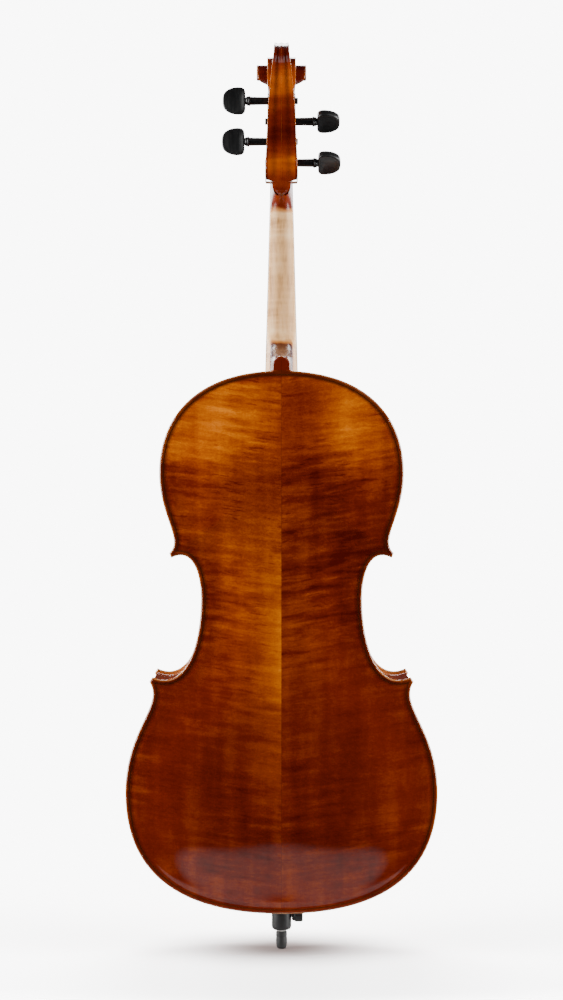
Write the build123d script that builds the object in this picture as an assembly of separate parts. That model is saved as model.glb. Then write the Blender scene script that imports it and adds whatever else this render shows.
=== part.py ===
from build123d import *
import os
from math import atan, cos, degrees, hypot, pi, radians, sin, sqrt, tan

os.makedirs("parts", exist_ok=True)

# Full size cello, millimetres.  Z is up, the floor is Z = 0, the centre plane is X = 0,
# the back faces +Y, the strings face -Y, the treble side is +X.

# ---- driving dimensions ----
BODY_LENGTH = 755.0
UPPER_WIDTH = 340.0
WAIST_WIDTH = 224.0
LOWER_WIDTH = 434.0
RIB_HEIGHT = 118.0
RIB_THICK = 1.8
PLATE_EDGE = 4.8
OVERHANG = 3.0
ARCH_RISE = 23.0
PLATE_GRAD = 4.5
EDGE_FLAT = 9.0
ARCH_RUN = 90.0
GLUE_INSET = 12.0
BODY_BOTTOM = 62.0
BRIDGE_STOP = 400.0
NECK_LENGTH = 280.0
NECK_SLOPE = 8.93
OVERSTAND = 22.0
NECK_WIDTH_NUT = 31.5
NECK_WIDTH_HEEL = 46.0
NECK_WOOD = 17.0
BUTTON_WIDTH = 25.6
BUTTON_HEIGHT = 20.0
BOARD_LENGTH = 580.0
BOARD_WIDTH_NUT = 32.0
BOARD_WIDTH_END = 64.0
BOARD_SIDE = 9.0
BOARD_RADIUS = 62.0
NUT_LONG = 9.0
STRING_SPREAD_NUT = 22.8
STRING_SPREAD_BRIDGE = 48.0
STRING_SPREAD_TAIL = 42.0
BRIDGE_TOP = 176.0
BRIDGE_RADIUS = 60.0
BRIDGE_FOOT = 11.0
BRIDGE_EDGE = 3.0
TAIL_WIDTH_TOP = 57.0
TAIL_WIDTH_END = 26.0
TAIL_THICK = 15.5
AFTER_LENGTH = 116.0
FRET_DEPTH = 143.0
SADDLE_TOP = 77.0
SADDLE_WIDTH = 34.0
SADDLE_LONG = 9.0
PEG_COLLAR_R = 6.0
PEG_TAPER = 25.0
PEG_HEAD_LONG = 32.0
PEG_HEAD_TALL = 38.8
PEG_HEAD_THICK = 12.0
PEG_FIT = 0.05
ROD_R = 5.0
ROD_LONG = 534.0
ROD_FIT = 0.05
TIP_R = 7.95
TIP_LONG = 24.7
COLLAR_R = 14.05
COLLAR_BOTTOM = 27.1
CLAMP_Z = 47.0
CLAMP_R = 3.0
KNOB_R = 9.3
GAP = 0.35
TUNER_R = 1.5
TUNER_FIT = 0.05

# ---- derived places ----
HALF = RIB_HEIGHT / 2
BODY_TOP = BODY_BOTTOM + BODY_LENGTH
SLOPE = radians(NECK_SLOPE)
NUT_Z = BODY_TOP + NECK_LENGTH
NUT_Y = -(HALF + PLATE_EDGE + OVERSTAND) + NECK_LENGTH * tan(SLOPE)
BRIDGE_Z = BODY_TOP - BRIDGE_STOP
FRET_Z = BRIDGE_Z - AFTER_LENGTH
SPREAD = [-0.5, -1 / 6, 1 / 6, 0.5]
STRING_NAMES = ["c", "g", "d", "a"]
STRING_R = [0.75, 0.55, 0.45, 0.4]


def outline_curves():
    """Half outline as cubic control points (x, z above the body bottom), top to bottom."""
    k = BODY_LENGTH / 755.0
    u = UPPER_WIDTH / 2
    w = WAIST_WIDTH / 2
    l = LOWER_WIDTH / 2
    c = 0.9176 * u
    d = 0.8465 * l
    curves = [
        [(0, 755), (0.665 * u, 755), (u, 696), (u, 613)],
        [(u, 613), (u, 552), (c - 20.5, 520.5), (c, 501.5)],
        [(c, 501.5), (c - 2.7, 494.5)],
        [(c - 2.7, 494.5), (c - 30.7, 509.7), (w, 476.5), (w, 438.5)],
        [(w, 438.5), (w, 367.5), (d - 47.9, 308.8), (d - 4.4, 329.2)],
        [(d - 4.4, 329.2), (d, 322.4)],
        [(d, 322.4), (d - 21.3, 290), (l, 256.6), (l, 168.6)],
        [(l, 168.6), (l, 68.6), (0.7235 * l, 0), (0, 0)],
    ]
    return [[(x, z * k) for x, z in curve] for curve in curves]


def outline_edge(curve, side):
    points = [(side * x, 0, z + BODY_BOTTOM) for x, z in curve]
    if len(points) == 2:
        return Line(*points)
    return Bezier(*points)


def outline_face():
    edges = [outline_edge(c, 1) for c in outline_curves()]
    edges += [outline_edge(c, -1) for c in outline_curves()]
    return make_face(edges).faces()[0]


OUTLINE = outline_face()


def inset(distance):
    """The body outline moved inwards."""
    face = offset(OUTLINE, -distance, kind=Kind.INTERSECTION).faces()[0]
    return face.to_splines().faces()[0]


def prism_y(face, y0, y1):
    """A solid between two Y planes from a face drawn on Y = 0."""
    return extrude(Pos(0, y0, 0) * face, y1 - y0, dir=(0, 1, 0))


def face_xz(points):
    return make_face(Polyline(*[(x, 0, z) for x, z in points], close=True).edges())


def prism_x(points, x0, x1):
    """A solid between two X planes from a (y, z) polygon."""
    line = Polyline(*[(x0, y, z) for y, z in points], close=True)
    return extrude(make_face(line.edges()), x1 - x0, dir=(1, 0, 0))


def block(x0, x1, y0, y1, z0, z1):
    size = Box(x1 - x0, y1 - y0, z1 - z0)
    return Pos((x0 + x1) / 2, (y0 + y1) / 2, (z0 + z1) / 2) * size


def bezier_point(p, t):
    if len(p) == 2:
        return (p[0][0] + (p[1][0] - p[0][0]) * t, p[0][1] + (p[1][1] - p[0][1]) * t)
    a = (1 - t) ** 3
    b = 3 * t * (1 - t) ** 2
    c = 3 * t * t * (1 - t)
    d = t ** 3
    return tuple(a * p[0][i] + b * p[1][i] + c * p[2][i] + d * p[3][i] for i in (0, 1))


RIM = [bezier_point(c, n / 24) for c in outline_curves() for n in range(24)]
RING = RIM + [(-x, z) for x, z in reversed(RIM)]


def inside(x, z):
    odd = False
    for (x1, z1), (x2, z2) in zip(RING, RING[1:] + RING[:1]):
        if (z1 > z) != (z2 > z) and x < (x2 - x1) * (z - z1) / (z2 - z1) + x1:
            odd = not odd
    return odd


def edge_depth(x, z):
    """How deep a place lies inside the outline, both sides felt at once."""
    if not inside(x, z):
        return 0.0
    near = min(hypot(x - a, z - b) for a, b in RIM)
    far = min(hypot(-x - a, z - b) for a, b in RIM)
    near = max(near, 0.01)
    far = max(far, 0.01)
    return (near ** -2 + far ** -2) ** -0.5


def smooth(t):
    t = min(max(t, 0.0), 1.0)
    return t * t * (3 - 2 * t)


def arch_rise(x, z):
    k = BODY_LENGTH / 755.0
    dome = (1 - (x / 230.0) ** 2) * (1 - ((z / k - 400) / 420.0) ** 2)
    return ARCH_RISE - 6 + 6 * max(dome, 0.0)


def arch_outer(x, z):
    depth = edge_depth(x, z)
    return PLATE_EDGE + smooth((depth - EDGE_FLAT) / ARCH_RUN) * arch_rise(x, z)


def arch_inner(x, z):
    depth = edge_depth(x, z)
    lift = arch_rise(x, z) + PLATE_EDGE - PLATE_GRAD - 0.8
    return 0.8 + smooth((depth - GLUE_INSET) / ARCH_RUN) * lift


def arch_face(height, side):
    """The arched surface on the back (+1) or the top (-1)."""
    wide = LOWER_WIDTH / 2 + 23
    rows = []
    for j in range(41):
        z = -20 + (BODY_LENGTH + 60) * j / 40
        row = []
        for i in range(25):
            x = -wide + 2 * wide * i / 24
            row.append(Vector(x, side * (HALF + height(x, z)), z + BODY_BOTTOM))
        rows.append(row)
    return Face.make_surface_from_array_of_points(rows, tol=0.3, max_deg=3)


def button_face():
    r = BUTTON_WIDTH / 2
    top = BODY_TOP + BUTTON_HEIGHT
    straight = face_xz([(-r, BODY_TOP - 8), (r, BODY_TOP - 8), (r, top - r), (-r, top - r)])
    disc = Pos(0, 0, top - r) * Rot(90, 0, 0) * Circle(r)
    return straight, disc


def under(height, side):
    """Everything on the inner side of an arched surface."""
    return extrude(arch_face(height, side), 130, dir=(0, -side, 0))


UNDER_BACK = under(arch_outer, 1)
UNDER_TOP = under(arch_outer, -1)
INNER_BACK = under(arch_inner, 1)
INNER_TOP = under(arch_inner, -1)


def arched_plate(side):
    """One arched plate, hollowed, with its groove for the purfling."""
    y0, y1 = sorted((side * HALF, side * (HALF + 60)))
    slab = prism_y(OUTLINE, y0, y1)
    shell = UNDER_BACK if side > 0 else UNDER_TOP
    core = INNER_BACK if side > 0 else INNER_TOP
    plate = slab & shell
    h0, h1 = sorted((side * (HALF - 5), side * (HALF + 60)))
    hollow = prism_y(inset(GLUE_INSET), h0, h1) & core
    plate = plate - hollow
    g0, g1 = sorted((side * (HALF + PLATE_EDGE - 1.7), side * (HALF + 30)))
    return plate - prism_y(purfling_face(), g0, g1)


def purfling_face():
    return (inset(5.0) - inset(6.4)).faces()[0]


def purfling(side):
    y0, y1 = sorted((side * (HALF + PLATE_EDGE - 1.7), side * (HALF + PLATE_EDGE - 0.1)))
    return prism_y(purfling_face(), y0, y1)


def neck_point(x, s, b):
    """Neck frame: s up along the glue plane from the nut, b backwards from it."""
    y = NUT_Y + s * sin(SLOPE) + b * cos(SLOPE)
    z = NUT_Z + s * cos(SLOPE) - b * sin(SLOPE)
    return (x, y, z)


def neck_prism(points, x0, x1):
    """A solid between two X planes from an (s, b) polygon."""
    return prism_x([neck_point(0, s, b)[1:] for s, b in points], x0, x1)


def width_prism(points):
    """A symmetric solid through the head from (s, half width) pairs."""
    loop = [(w, s) for s, w in points] + [(-w, s) for s, w in reversed(points)]
    line = Polyline(*[neck_point(x, s, -70) for x, s in loop], close=True)
    way = Vector(0, cos(SLOPE), -sin(SLOPE))
    return extrude(make_face(line.edges()), 190, dir=way)


def glue_y(z):
    return NUT_Y - (NUT_Z - z) * tan(SLOPE)


def make_heel():
    """The foot of the neck, let into the upper block."""
    top = BODY_TOP
    front = glue_y(top)
    knee = top + 63
    lift = top + BUTTON_HEIGHT
    side = [
        (front, top),
        (glue_y(knee), knee),
        (glue_y(knee) + NECK_WOOD, knee),
        (glue_y(knee) + NECK_WOOD + 7, top + 48),
        (-36, top + 37),
        (-10, top + 28),
        (25, lift + 3),
        (HALF, lift),
        (HALF, top - 6),
        (-HALF - PLATE_EDGE - 0.7, top - 6),
        (-HALF - PLATE_EDGE - 0.7, top),
    ]
    body = prism_x(side, -40, 40)
    w0 = NECK_WIDTH_HEEL / 2 + 0.5
    w1 = BUTTON_WIDTH / 2 + 0.2
    plan = [(-w0, front), (w0, front), (w1, HALF), (-w1, HALF)]
    line = Polyline(*[(x, y, top - 10) for x, y in plan], close=True)
    return body & extrude(make_face(line.edges()), 90, dir=(0, 0, 1))


def shaft_section(s):
    """A D shaped section of the neck."""
    share = -s / NECK_LENGTH
    half = (NECK_WIDTH_NUT + (NECK_WIDTH_HEEL - NECK_WIDTH_NUT) * share) / 2
    deep = NECK_WOOD * 4 / 3
    flat = Line(neck_point(-half, s, 0), neck_point(half, s, 0))
    p0 = neck_point(half, s, 0)
    p1 = neck_point(half, s, deep)
    p2 = neck_point(-half, s, deep)
    p3 = neck_point(-half, s, 0)
    return make_face([flat, Bezier(p0, p1, p2, p3)]).faces()[0]


SCROLL_S = 149.0
SCROLL_B = 18.0
SCROLL_R = 43.0
SCROLL_SHRINK = 0.52
SCROLL_WIDTHS = [(90, 9.9), (180, 12), (270, 17), (330, 20), (450, 20.3), (630, 20.8),
                 (680, 25), (720, 30.5), (765, 34), (810, 35.3)]


def scroll_radius(turn):
    return SCROLL_R * SCROLL_SHRINK ** ((turn - 90) / 360)


def scroll_half(turn):
    for (t0, w0), (t1, w1) in zip(SCROLL_WIDTHS, SCROLL_WIDTHS[1:]):
        if turn <= t1:
            return w0 + (w1 - w0) * (turn - t0) / (t1 - t0)
    return SCROLL_WIDTHS[-1][1]


def scroll_wedge(turn, step):
    """One step of the volute, as wide as the spiral is there."""
    loop = [(SCROLL_S, SCROLL_B)]
    for part in range(4):
        at = radians(turn + step * part / 3)
        r = scroll_radius(turn + step * part / 3)
        loop.append((SCROLL_S + r * sin(at), SCROLL_B + r * cos(at)))
    half = scroll_half(turn + step / 2)
    return neck_prism(loop, -half, half)


PEG_PLACES = {"c": (23.4, 24.0), "a": (53.3, 25.0), "g": (81.5, 27.5), "d": (110.3, 32.0)}
PEG_SIDE = {"c": -1, "g": -1, "d": 1, "a": 1}
PEG_OUT = {"c": 45.4, "g": 43.9, "d": 44.4, "a": 46.0}
PEG_TURN = {"c": 52.0, "g": 56.0, "d": 0.0, "a": 0.0}


def make_head():
    """Pegbox and scroll as one piece of wood."""
    side = [
        (-60, 2), (-60, 16.5), (-36, 17.5), (-24, 25), (-17, 34), (-15, 39), (-8, 42),
        (20, 43), (60, 44), (100, 48.5), (130, 55.5), (SCROLL_S, 58),
        (172, 57), (184, 43), (SCROLL_S + SCROLL_R, SCROLL_B), (SCROLL_S, SCROLL_B),
        (120, 24), (111, 19), (95, 10), (60, 3), (NUT_LONG, 0.4), (-10, 0.4),
    ]
    walls = [(-62, 12.3), (-4, 12.3), (-2, 19), (2, 22.5), (12, 23), (57, 20.8), (113, 18.5),
             (SCROLL_S, 14.5), (175, 11), (SCROLL_S + SCROLL_R + 6, 9.9)]
    head = neck_prism(side, -30, 30) & width_prism(walls)
    for n in range(24):
        head = head + scroll_wedge(90 + 30 * n, 30)
    eye = Pos(*neck_point(0, SCROLL_S, SCROLL_B)) * Rot(0, 90, 0) * Cylinder(11.2, 70.6)
    head = head + eye
    slot = [(11, -8), (11, 33), (60, 35), (100, 39), (126, 44), (129, 38), (124, 27),
            (112, 22), (106, 8), (104, -8)]
    room = [(10, 12.2), (60, 10.6), (131, 7.8)]
    return head - (neck_prism(slot, -20, 20) & width_prism(room))


def peg_radius(x, out):
    return PEG_COLLAR_R - (out - x) / PEG_TAPER / 2


def turned(points, side, place):
    """A solid turned about an X axis through a place in the neck frame."""
    s, b = place
    face = make_face(Polyline(*[(side * x, r, 0) for x, r in points], close=True).edges())
    return Pos(*neck_point(0, s, b)) * revolve(face, axis=Axis.X)


def peg_cone(name, grow):
    out = PEG_OUT[name]
    low = peg_radius(-26, out) + grow
    high = peg_radius(out, out) + grow
    points = [(-26, 0), (-26, low), (out, high), (out, 0)]
    return turned(points, PEG_SIDE[name], PEG_PLACES[name])


def make_neck():
    shaft = loft([shaft_section(0), shaft_section(-(NECK_LENGTH - 62))])
    foot = loft([shaft_section(-(NECK_LENGTH - 62)), shaft_section(-(NECK_LENGTH - 8))])
    neck = shaft + foot + make_heel() + make_head()
    for name in PEG_PLACES:
        neck = neck - peg_cone(name, PEG_FIT)
    return neck


def peg_head(name):
    """The thumb piece, a flat heart shape on the peg's axis."""
    start = PEG_OUT[name] + 7
    mid = start + PEG_HEAD_LONG * 0.3
    a = PEG_HEAD_TALL / 2
    lo = start
    hi = start + PEG_HEAD_LONG
    edges = [
        Bezier((lo, 5), (lo, a * 0.7), (lo + 2.5, a), (mid, a)),
        Bezier((mid, a), (hi - 10, a), (hi, a * 0.6), (hi, 0)),
        Bezier((hi, 0), (hi, -a * 0.6), (hi - 10, -a), (mid, -a)),
        Bezier((mid, -a), (lo + 2.5, -a), (lo, -a * 0.7), (lo, -5)),
        Line((lo, -5), (lo, 5)),
    ]
    disc = extrude(make_face(edges), PEG_HEAD_THICK / 2, both=True)
    return fillet(disc.edges().filter_by(Axis.Z, reverse=True), 2.5)


def make_peg(name):
    out = PEG_OUT[name]
    side = PEG_SIDE[name]
    r0 = peg_radius(-23.5, out)
    points = [(-23.5, 0), (-23.5, r0 - 1), (-22.5, r0), (out, PEG_COLLAR_R), (out, 7.0),
              (out + 1.2, 7.4), (out + 3.4, 7.4), (out + 4.6, 7.0), (out + 4.6, 5.4),
              (out + 7.6, 5.0), (out + 7.6, 0)]
    stem = turned(points, side, PEG_PLACES[name])
    head = Rot(90 + PEG_TURN[name] * side, 0, 0) * peg_head(name)
    if side < 0:
        head = mirror(head, about=Plane.YZ)
    s, b = PEG_PLACES[name]
    return stem + Pos(*neck_point(0, s, b)) * head


WIND_FROM = {"c": 1.5, "g": -1.0, "d": -1.0, "a": 1.5}
WIND_LONG = 7.0


def wind_radius(name):
    x = WIND_FROM[name] + WIND_LONG
    return peg_radius(x, PEG_OUT[name]) + 1.3


def make_winding(name):
    x0 = WIND_FROM[name]
    x1 = x0 + WIND_LONG
    r = wind_radius(name)
    points = [(x0, 0), (x0, r - 0.5), (x0 + 0.5, r), (x1 - 0.5, r), (x1, r - 0.5), (x1, 0)]
    ring = turned(points, PEG_SIDE[name], PEG_PLACES[name])
    return ring - peg_cone(name, 0)


def sag(half, radius):
    return radius - sqrt(radius ** 2 - half ** 2)


def board_half(s):
    share = -s / BOARD_LENGTH
    return (BOARD_WIDTH_NUT + (BOARD_WIDTH_END - BOARD_WIDTH_NUT) * share) / 2


def board_section(s, half, rise):
    """A fingerboard section, flat behind and crowned in front."""
    crown = BOARD_SIDE + rise + sag(half, BOARD_RADIUS)
    a = neck_point(-half, s, 0)
    b = neck_point(half, s, 0)
    c = neck_point(half, s, -BOARD_SIDE - rise)
    d = neck_point(0, s, -crown)
    e = neck_point(-half, s, -BOARD_SIDE - rise)
    return make_face([Line(a, b), Line(b, c), ThreePointArc(c, d, e), Line(e, a)]).faces()[0]


def hollow_section(s, half, deep):
    a = neck_point(-half, s, 1)
    b = neck_point(half, s, 1)
    return make_face([Line(a, b), ThreePointArc(b, neck_point(0, s, -deep), a)]).faces()[0]


def make_board():
    board = loft([board_section(0, board_half(0), 0),
                  board_section(-BOARD_LENGTH, board_half(-BOARD_LENGTH), 0)])
    s0 = -(NECK_LENGTH + 8)
    s1 = -BOARD_LENGTH - 1
    scoop = loft([hollow_section(s0, board_half(s0) - 6, 5),
                  hollow_section(s1, board_half(s1) - 5, 11)])
    return board - scoop


def make_nut():
    face = board_section(0, BOARD_WIDTH_NUT / 2, 1.0)
    return extrude(face, NUT_LONG, dir=Vector(0, sin(SLOPE), cos(SLOPE)))


# ---- tailpiece frame: u down along it from the fret, v out in front of the strings' plane ----
TAIL_RUN = FRET_Z - (BODY_BOTTOM + 5)
TAIL_DROP = FRET_DEPTH - SADDLE_TOP - 2.5
TAIL_SPAN = hypot(TAIL_RUN, TAIL_DROP)
UD_Y = TAIL_DROP / TAIL_SPAN
UD_Z = -TAIL_RUN / TAIL_SPAN
TAIL_LENGTH = (FRET_Z - BODY_BOTTOM - 20) / -UD_Z


def tail_point(x, u, v):
    y = -FRET_DEPTH + u * UD_Y + v * UD_Z
    z = FRET_Z + u * UD_Z - v * UD_Y
    return (x, y, z)


def tail_plane(x, u, v):
    return Plane(origin=tail_point(x, u, v), x_dir=(1, 0, 0), z_dir=(0, UD_Z, -UD_Y))


def tail_box(x, u0, u1, v0, v1, wide):
    place = tail_plane(x, (u0 + u1) / 2, (v0 + v1) / 2)
    return place * Box(wide, u1 - u0, v1 - v0)


def tail_section(u, half, low):
    crown = -1.5
    side = crown - sag(half, BOARD_RADIUS)
    a = tail_point(-half, u, low)
    b = tail_point(half, u, low)
    c = tail_point(half, u, side)
    d = tail_point(0, u, crown)
    e = tail_point(-half, u, side)
    return make_face([Line(a, b), Line(b, c), ThreePointArc(c, d, e), Line(e, a)]).faces()[0]


def tail_x(k):
    return STRING_SPREAD_TAIL * SPREAD[k]


def tail_v(k):
    return -sag(abs(tail_x(k)), BOARD_RADIUS)


PIVOT_U = 30.0
PIVOT_V = -11.0
SCREW_U = 52.0
SLOT_WIDE = 7.0
LEVER_WIDE = 5.6


def make_tailpiece():
    body = loft([tail_section(-2, TAIL_WIDTH_TOP / 2, -TAIL_THICK - 1.5),
                 tail_section(TAIL_LENGTH, TAIL_WIDTH_END / 2, -13)])
    for k in range(4):
        v = tail_v(k)
        body = body - tail_box(tail_x(k), 11, 43, -30, 5, SLOT_WIDE)
        body = body - tail_box(tail_x(k), 42, 62, -30, v - 8, SLOT_WIDE)
        hole = tail_plane(tail_x(k), SCREW_U, v - 5) * Cylinder(TUNER_R + TUNER_FIT, 20)
        body = body - hole
        body = body - tuner_pin(k)
    return body


def make_fret():
    half = TAIL_WIDTH_TOP / 2 - 2
    low = -1.5 - sag(half, BOARD_RADIUS)
    top = -sag(half, BOARD_RADIUS)
    a = tail_point(-half, 2, low)
    b = tail_point(half, 2, low)
    c = tail_point(half, 2, top)
    e = tail_point(-half, 2, top)
    edges = [ThreePointArc(a, tail_point(0, 2, -1.5), b), Line(b, c),
             ThreePointArc(c, tail_point(0, 2, 0), e), Line(e, a)]
    return extrude(make_face(edges), 3, dir=Vector(0, UD_Y, UD_Z))


def tuner_pin(k):
    place = tail_plane(tail_x(k), PIVOT_U, tail_v(k) + PIVOT_V)
    return place * Rot(0, 90, 0) * Cylinder(1.25, SLOT_WIDE + 4)


def make_lever(k):
    """The rocking lever: a fork for the string and a long arm under the screw."""
    shape = [(15, 1.5), (18, 1.5), (18.6, -4), (26, -7.6), (33, -8.2), (36, -11),
             (57, -12.9), (57, -16.2), (34, -16.2), (27, -14.2), (18, -9), (15, -5)]
    x = tail_x(k)
    v = tail_v(k)
    line = Polyline(*[tail_point(x - LEVER_WIDE / 2, a, v + b) for a, b in shape], close=True)
    lever = extrude(make_face(line.edges()), LEVER_WIDE, dir=(1, 0, 0))
    lever = lever - tail_box(x, 13, 18.4, v - 1.3, v + 3, 2.4)
    hole = tail_plane(x, PIVOT_U, v + PIVOT_V) * Rot(0, 90, 0) * Cylinder(1.3, 12)
    return lever - hole


def make_tuner_screw(k):
    v = tail_v(k)
    low = -12.0
    high = 6.0
    place = tail_plane(tail_x(k), SCREW_U, v + (low + high) / 2)
    return place * Cylinder(TUNER_R, high - low)


def make_tuner_knob(k):
    v = tail_v(k)
    place = tail_plane(tail_x(k), SCREW_U, v + 4.2)
    knob = place * Cylinder(4.5, 6.6)
    knob = chamfer(knob.edges().filter_by(GeomType.CIRCLE), 0.7)
    bore = tail_plane(tail_x(k), SCREW_U, v + 3) * Cylinder(TUNER_R + TUNER_FIT, 6.2)
    return knob - bore


def rod(points, r):
    """A round bar through a row of places."""
    bar = None
    for p, q in zip(points, points[1:]):
        way = Vector(*q) - Vector(*p)
        place = Plane(origin=p, z_dir=way)
        low = (Align.CENTER, Align.CENTER, Align.MIN)
        piece = place * Cylinder(r, way.length, align=low)
        bar = piece if bar is None else bar + piece
    for p in points[1:-1]:
        bar = bar + Pos(*p) * Sphere(r)
    return bar


def string_points(k):
    name = STRING_NAMES[k]
    s, b = PEG_PLACES[name]
    r = STRING_R[k]
    x_wind = PEG_SIDE[name] * (WIND_FROM[name] + WIND_LONG / 2)
    x_nut = STRING_SPREAD_NUT * SPREAD[k]
    x_bridge = STRING_SPREAD_BRIDGE * SPREAD[k]
    b_nut = -(BOARD_SIDE + 1.0 + sag(BOARD_WIDTH_NUT / 2, BOARD_RADIUS)
              - sag(abs(x_nut), BOARD_RADIUS))
    y_bridge = -BRIDGE_TOP + sag(abs(x_bridge), BRIDGE_RADIUS)
    return [
        neck_point(x_wind, s, b - wind_radius(name) - r - GAP),
        neck_point(x_nut, NUT_LONG - 1.5, b_nut),
        neck_point(x_nut, 0, b_nut),
        (x_bridge, y_bridge, BRIDGE_Z),
        tail_point(tail_x(k), 3.5, tail_v(k)),
        tail_point(tail_x(k), 20.9, tail_v(k)),
    ]


def make_string(k):
    points = string_points(k)
    return rod(points, STRING_R[k]) + Pos(*points[-1]) * Sphere(2.2)


def bridge_outline():
    top = BRIDGE_TOP - HALF - PLATE_EDGE - ARCH_RISE
    half = [(18, -16), (46, -16), (46, -2), (37, 5), (31, 20), (32, 34), (41, 40), (43, 46),
            (37, 52), (35, 62), (34, 76)]
    half = [(x, e * top / 89.2) for x, e in half]
    crest = [(34 - 34 * n / 6, top - sag(34 - 34 * n / 6, BRIDGE_RADIUS)) for n in range(7)]
    inner = [(20, 1), (15, 20), (8, 31), (0, 34)]
    inner = [(x, e * top / 89.2) for x, e in inner]
    right = inner[::-1] + half + crest
    return right, top


def make_bridge():
    right, top = bridge_outline()
    base = HALF + PLATE_EDGE + ARCH_RISE
    loop = right + [(-x, e) for x, e in right[::-1][1:-1]]
    z0 = BRIDGE_Z - BRIDGE_FOOT / 2
    line = Polyline(*[(x, -base - e, z0) for x, e in loop], close=True)
    slab = extrude(make_face(line.edges()), BRIDGE_FOOT, dir=(0, 0, 1))
    f = BRIDGE_FOOT / 2
    t = BRIDGE_EDGE / 2
    wedge = [(-base + 20, BRIDGE_Z - f), (-base + 20, BRIDGE_Z + f), (-base, BRIDGE_Z + f),
             (-base - top - 1, BRIDGE_Z + t), (-base - top - 1, BRIDGE_Z - t),
             (-base, BRIDGE_Z - f)]
    slab = slab & prism_x(wedge, -80, 80)
    heart = Pos(0, -base - 0.62 * top, BRIDGE_Z) * Cylinder(7.5, 30)
    slab = slab - heart
    for x in (-21, 21):
        slab = slab - Pos(x, -base - 0.58 * top, BRIDGE_Z) * Cylinder(5.5, 30)
    return slab - UNDER_TOP


def hole_line(side):
    """Centre line of one sound hole from its inner top eye to its outer bottom eye."""
    m = BRIDGE_Z
    points = [(50, 62), (54, 71), (61, 71), (65.5, 60), (66.5, 34), (67.5, 0), (68.5, -36),
              (70, -58), (75, -71), (81.5, -71), (85, -62)]
    return [(side * x, m + z) for x, z in points]


def sound_hole(side):
    """One f shaped sound hole as a cutting tool."""
    points = hole_line(side)
    wide = [2.2, 2.6, 3.2, 4.0, 4.4, 4.4, 4.4, 4.0, 3.2, 2.8, 2.4]
    left = []
    right = []
    for n, (x, z) in enumerate(points):
        x0, z0 = points[max(n - 1, 0)]
        x1, z1 = points[min(n + 1, len(points) - 1)]
        length = hypot(x1 - x0, z1 - z0)
        nx = -(z1 - z0) / length * wide[n]
        nz = (x1 - x0) / length * wide[n]
        left.append((x + nx, z + nz))
        right.append((x - nx, z - nz))
    tool = prism_y(face_xz(left + right[::-1]), -HALF - 60, -HALF + 5)
    for (x, z), r in ((points[0], 5.5), (points[-1], 7.0)):
        tool = tool + Pos(x, -HALF - 28, z) * Rot(90, 0, 0) * Cylinder(r, 66)
    return tool


def corner_cuts():
    """Polygons that part the ribs at the corners, treble side."""
    k = BODY_LENGTH / 755.0
    cx = 0.9176 * UPPER_WIDTH / 2 - 1.35
    cz = 498.0 * k + BODY_BOTTOM
    dx = 0.8465 * LOWER_WIDTH / 2 - 2.2
    dz = 325.8 * k + BODY_BOTTOM
    upper = [(0, cz + 34), (cx - 48, cz + 34), (cx, cz), (cx + 240, cz - 170),
             (cx + 240, cz + 500), (0, cz + 500)]
    lower = [(0, dz - 33), (dx - 38, dz - 33), (dx, dz), (dx + 230, dz + 199),
             (dx + 230, dz - 500), (0, dz - 500)]
    return face_xz(upper), face_xz(lower)


def make_ribs(heel, plug):
    band = prism_y(inset(OVERHANG), -HALF, HALF) - prism_y(inset(OVERHANG + RIB_THICK), -HALF, HALF)
    upper, lower = corner_cuts()
    above = prism_y(upper, -HALF, HALF)
    below = prism_y(lower, -HALF, HALF)
    treble = band & block(0, 400, -HALF, HALF, 0, 1200)
    ribs = {
        "upper": (treble & above) - heel,
        "middle": treble - above - below,
        "lower": (treble & below) - plug,
    }
    out = {}
    for name, rib in ribs.items():
        out["rib_" + name + "_treble"] = rib
        out["rib_" + name + "_bass"] = mirror(rib, about=Plane.YZ)
    return out


def make_blocks(heel, plug):
    room = prism_y(inset(OVERHANG + RIB_THICK), -HALF, HALF)
    k = BODY_LENGTH / 755.0
    c = 0.9176 * UPPER_WIDTH / 2
    d = 0.8465 * LOWER_WIDTH / 2
    zc = 495 * k + BODY_BOTTOM
    zd = 325 * k + BODY_BOTTOM
    top = room & block(-60, 60, -HALF, HALF, BODY_TOP - 42, BODY_TOP)
    end = room & block(-50, 50, -HALF, HALF, BODY_BOTTOM, BODY_BOTTOM + 42)
    high = room & block(c - 44, c + 10, -HALF, HALF, zc - 12, zc + 40)
    low = room & block(d - 46, d + 10, -HALF, HALF, zd - 40, zd + 12)
    return {
        "upper_block": top - heel,
        "lower_block": end - plug,
        "corner_blocks_upper": high + mirror(high, about=Plane.YZ),
        "corner_blocks_lower": low + mirror(low, about=Plane.YZ),
    }


def make_linings(blocks, heel):
    strip = (inset(OVERHANG + RIB_THICK) - inset(OVERHANG + RIB_THICK + 2.0)).faces()[0]
    out = {}
    for name, y0, y1 in (("linings_back", HALF - 12, HALF), ("linings_top", -HALF, 12 - HALF)):
        lining = prism_y(strip, y0, y1)
        for piece in blocks.values():
            lining = lining - piece
        out[name] = lining - heel
    return out


def make_bass_bar():
    k = BODY_LENGTH / 755.0
    z0 = BODY_BOTTOM + 65 * k
    z1 = BODY_BOTTOM + 645 * k
    zm = (z0 + z1) / 2
    deep = HALF + ARCH_RISE - 24
    side = [(-HALF - 60, z0), (-HALF - 60, z1), (-HALF - 8, z1), (-deep, zm + 150 * k),
            (-deep + 4, zm), (-deep, zm - 150 * k), (-HALF - 8, z0)]
    return prism_x(side, -37.2, -26.8) & INNER_TOP


def make_sound_post():
    post = Pos(32, 0, BRIDGE_Z - 15) * Rot(90, 0, 0) * Cylinder(5.5, 260)
    return post & INNER_TOP & INNER_BACK


def turned_z(points):
    face = make_face(Polyline(*[(r, 0, z) for r, z in points], close=True).edges())
    return revolve(face, axis=Axis.Z)


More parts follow.
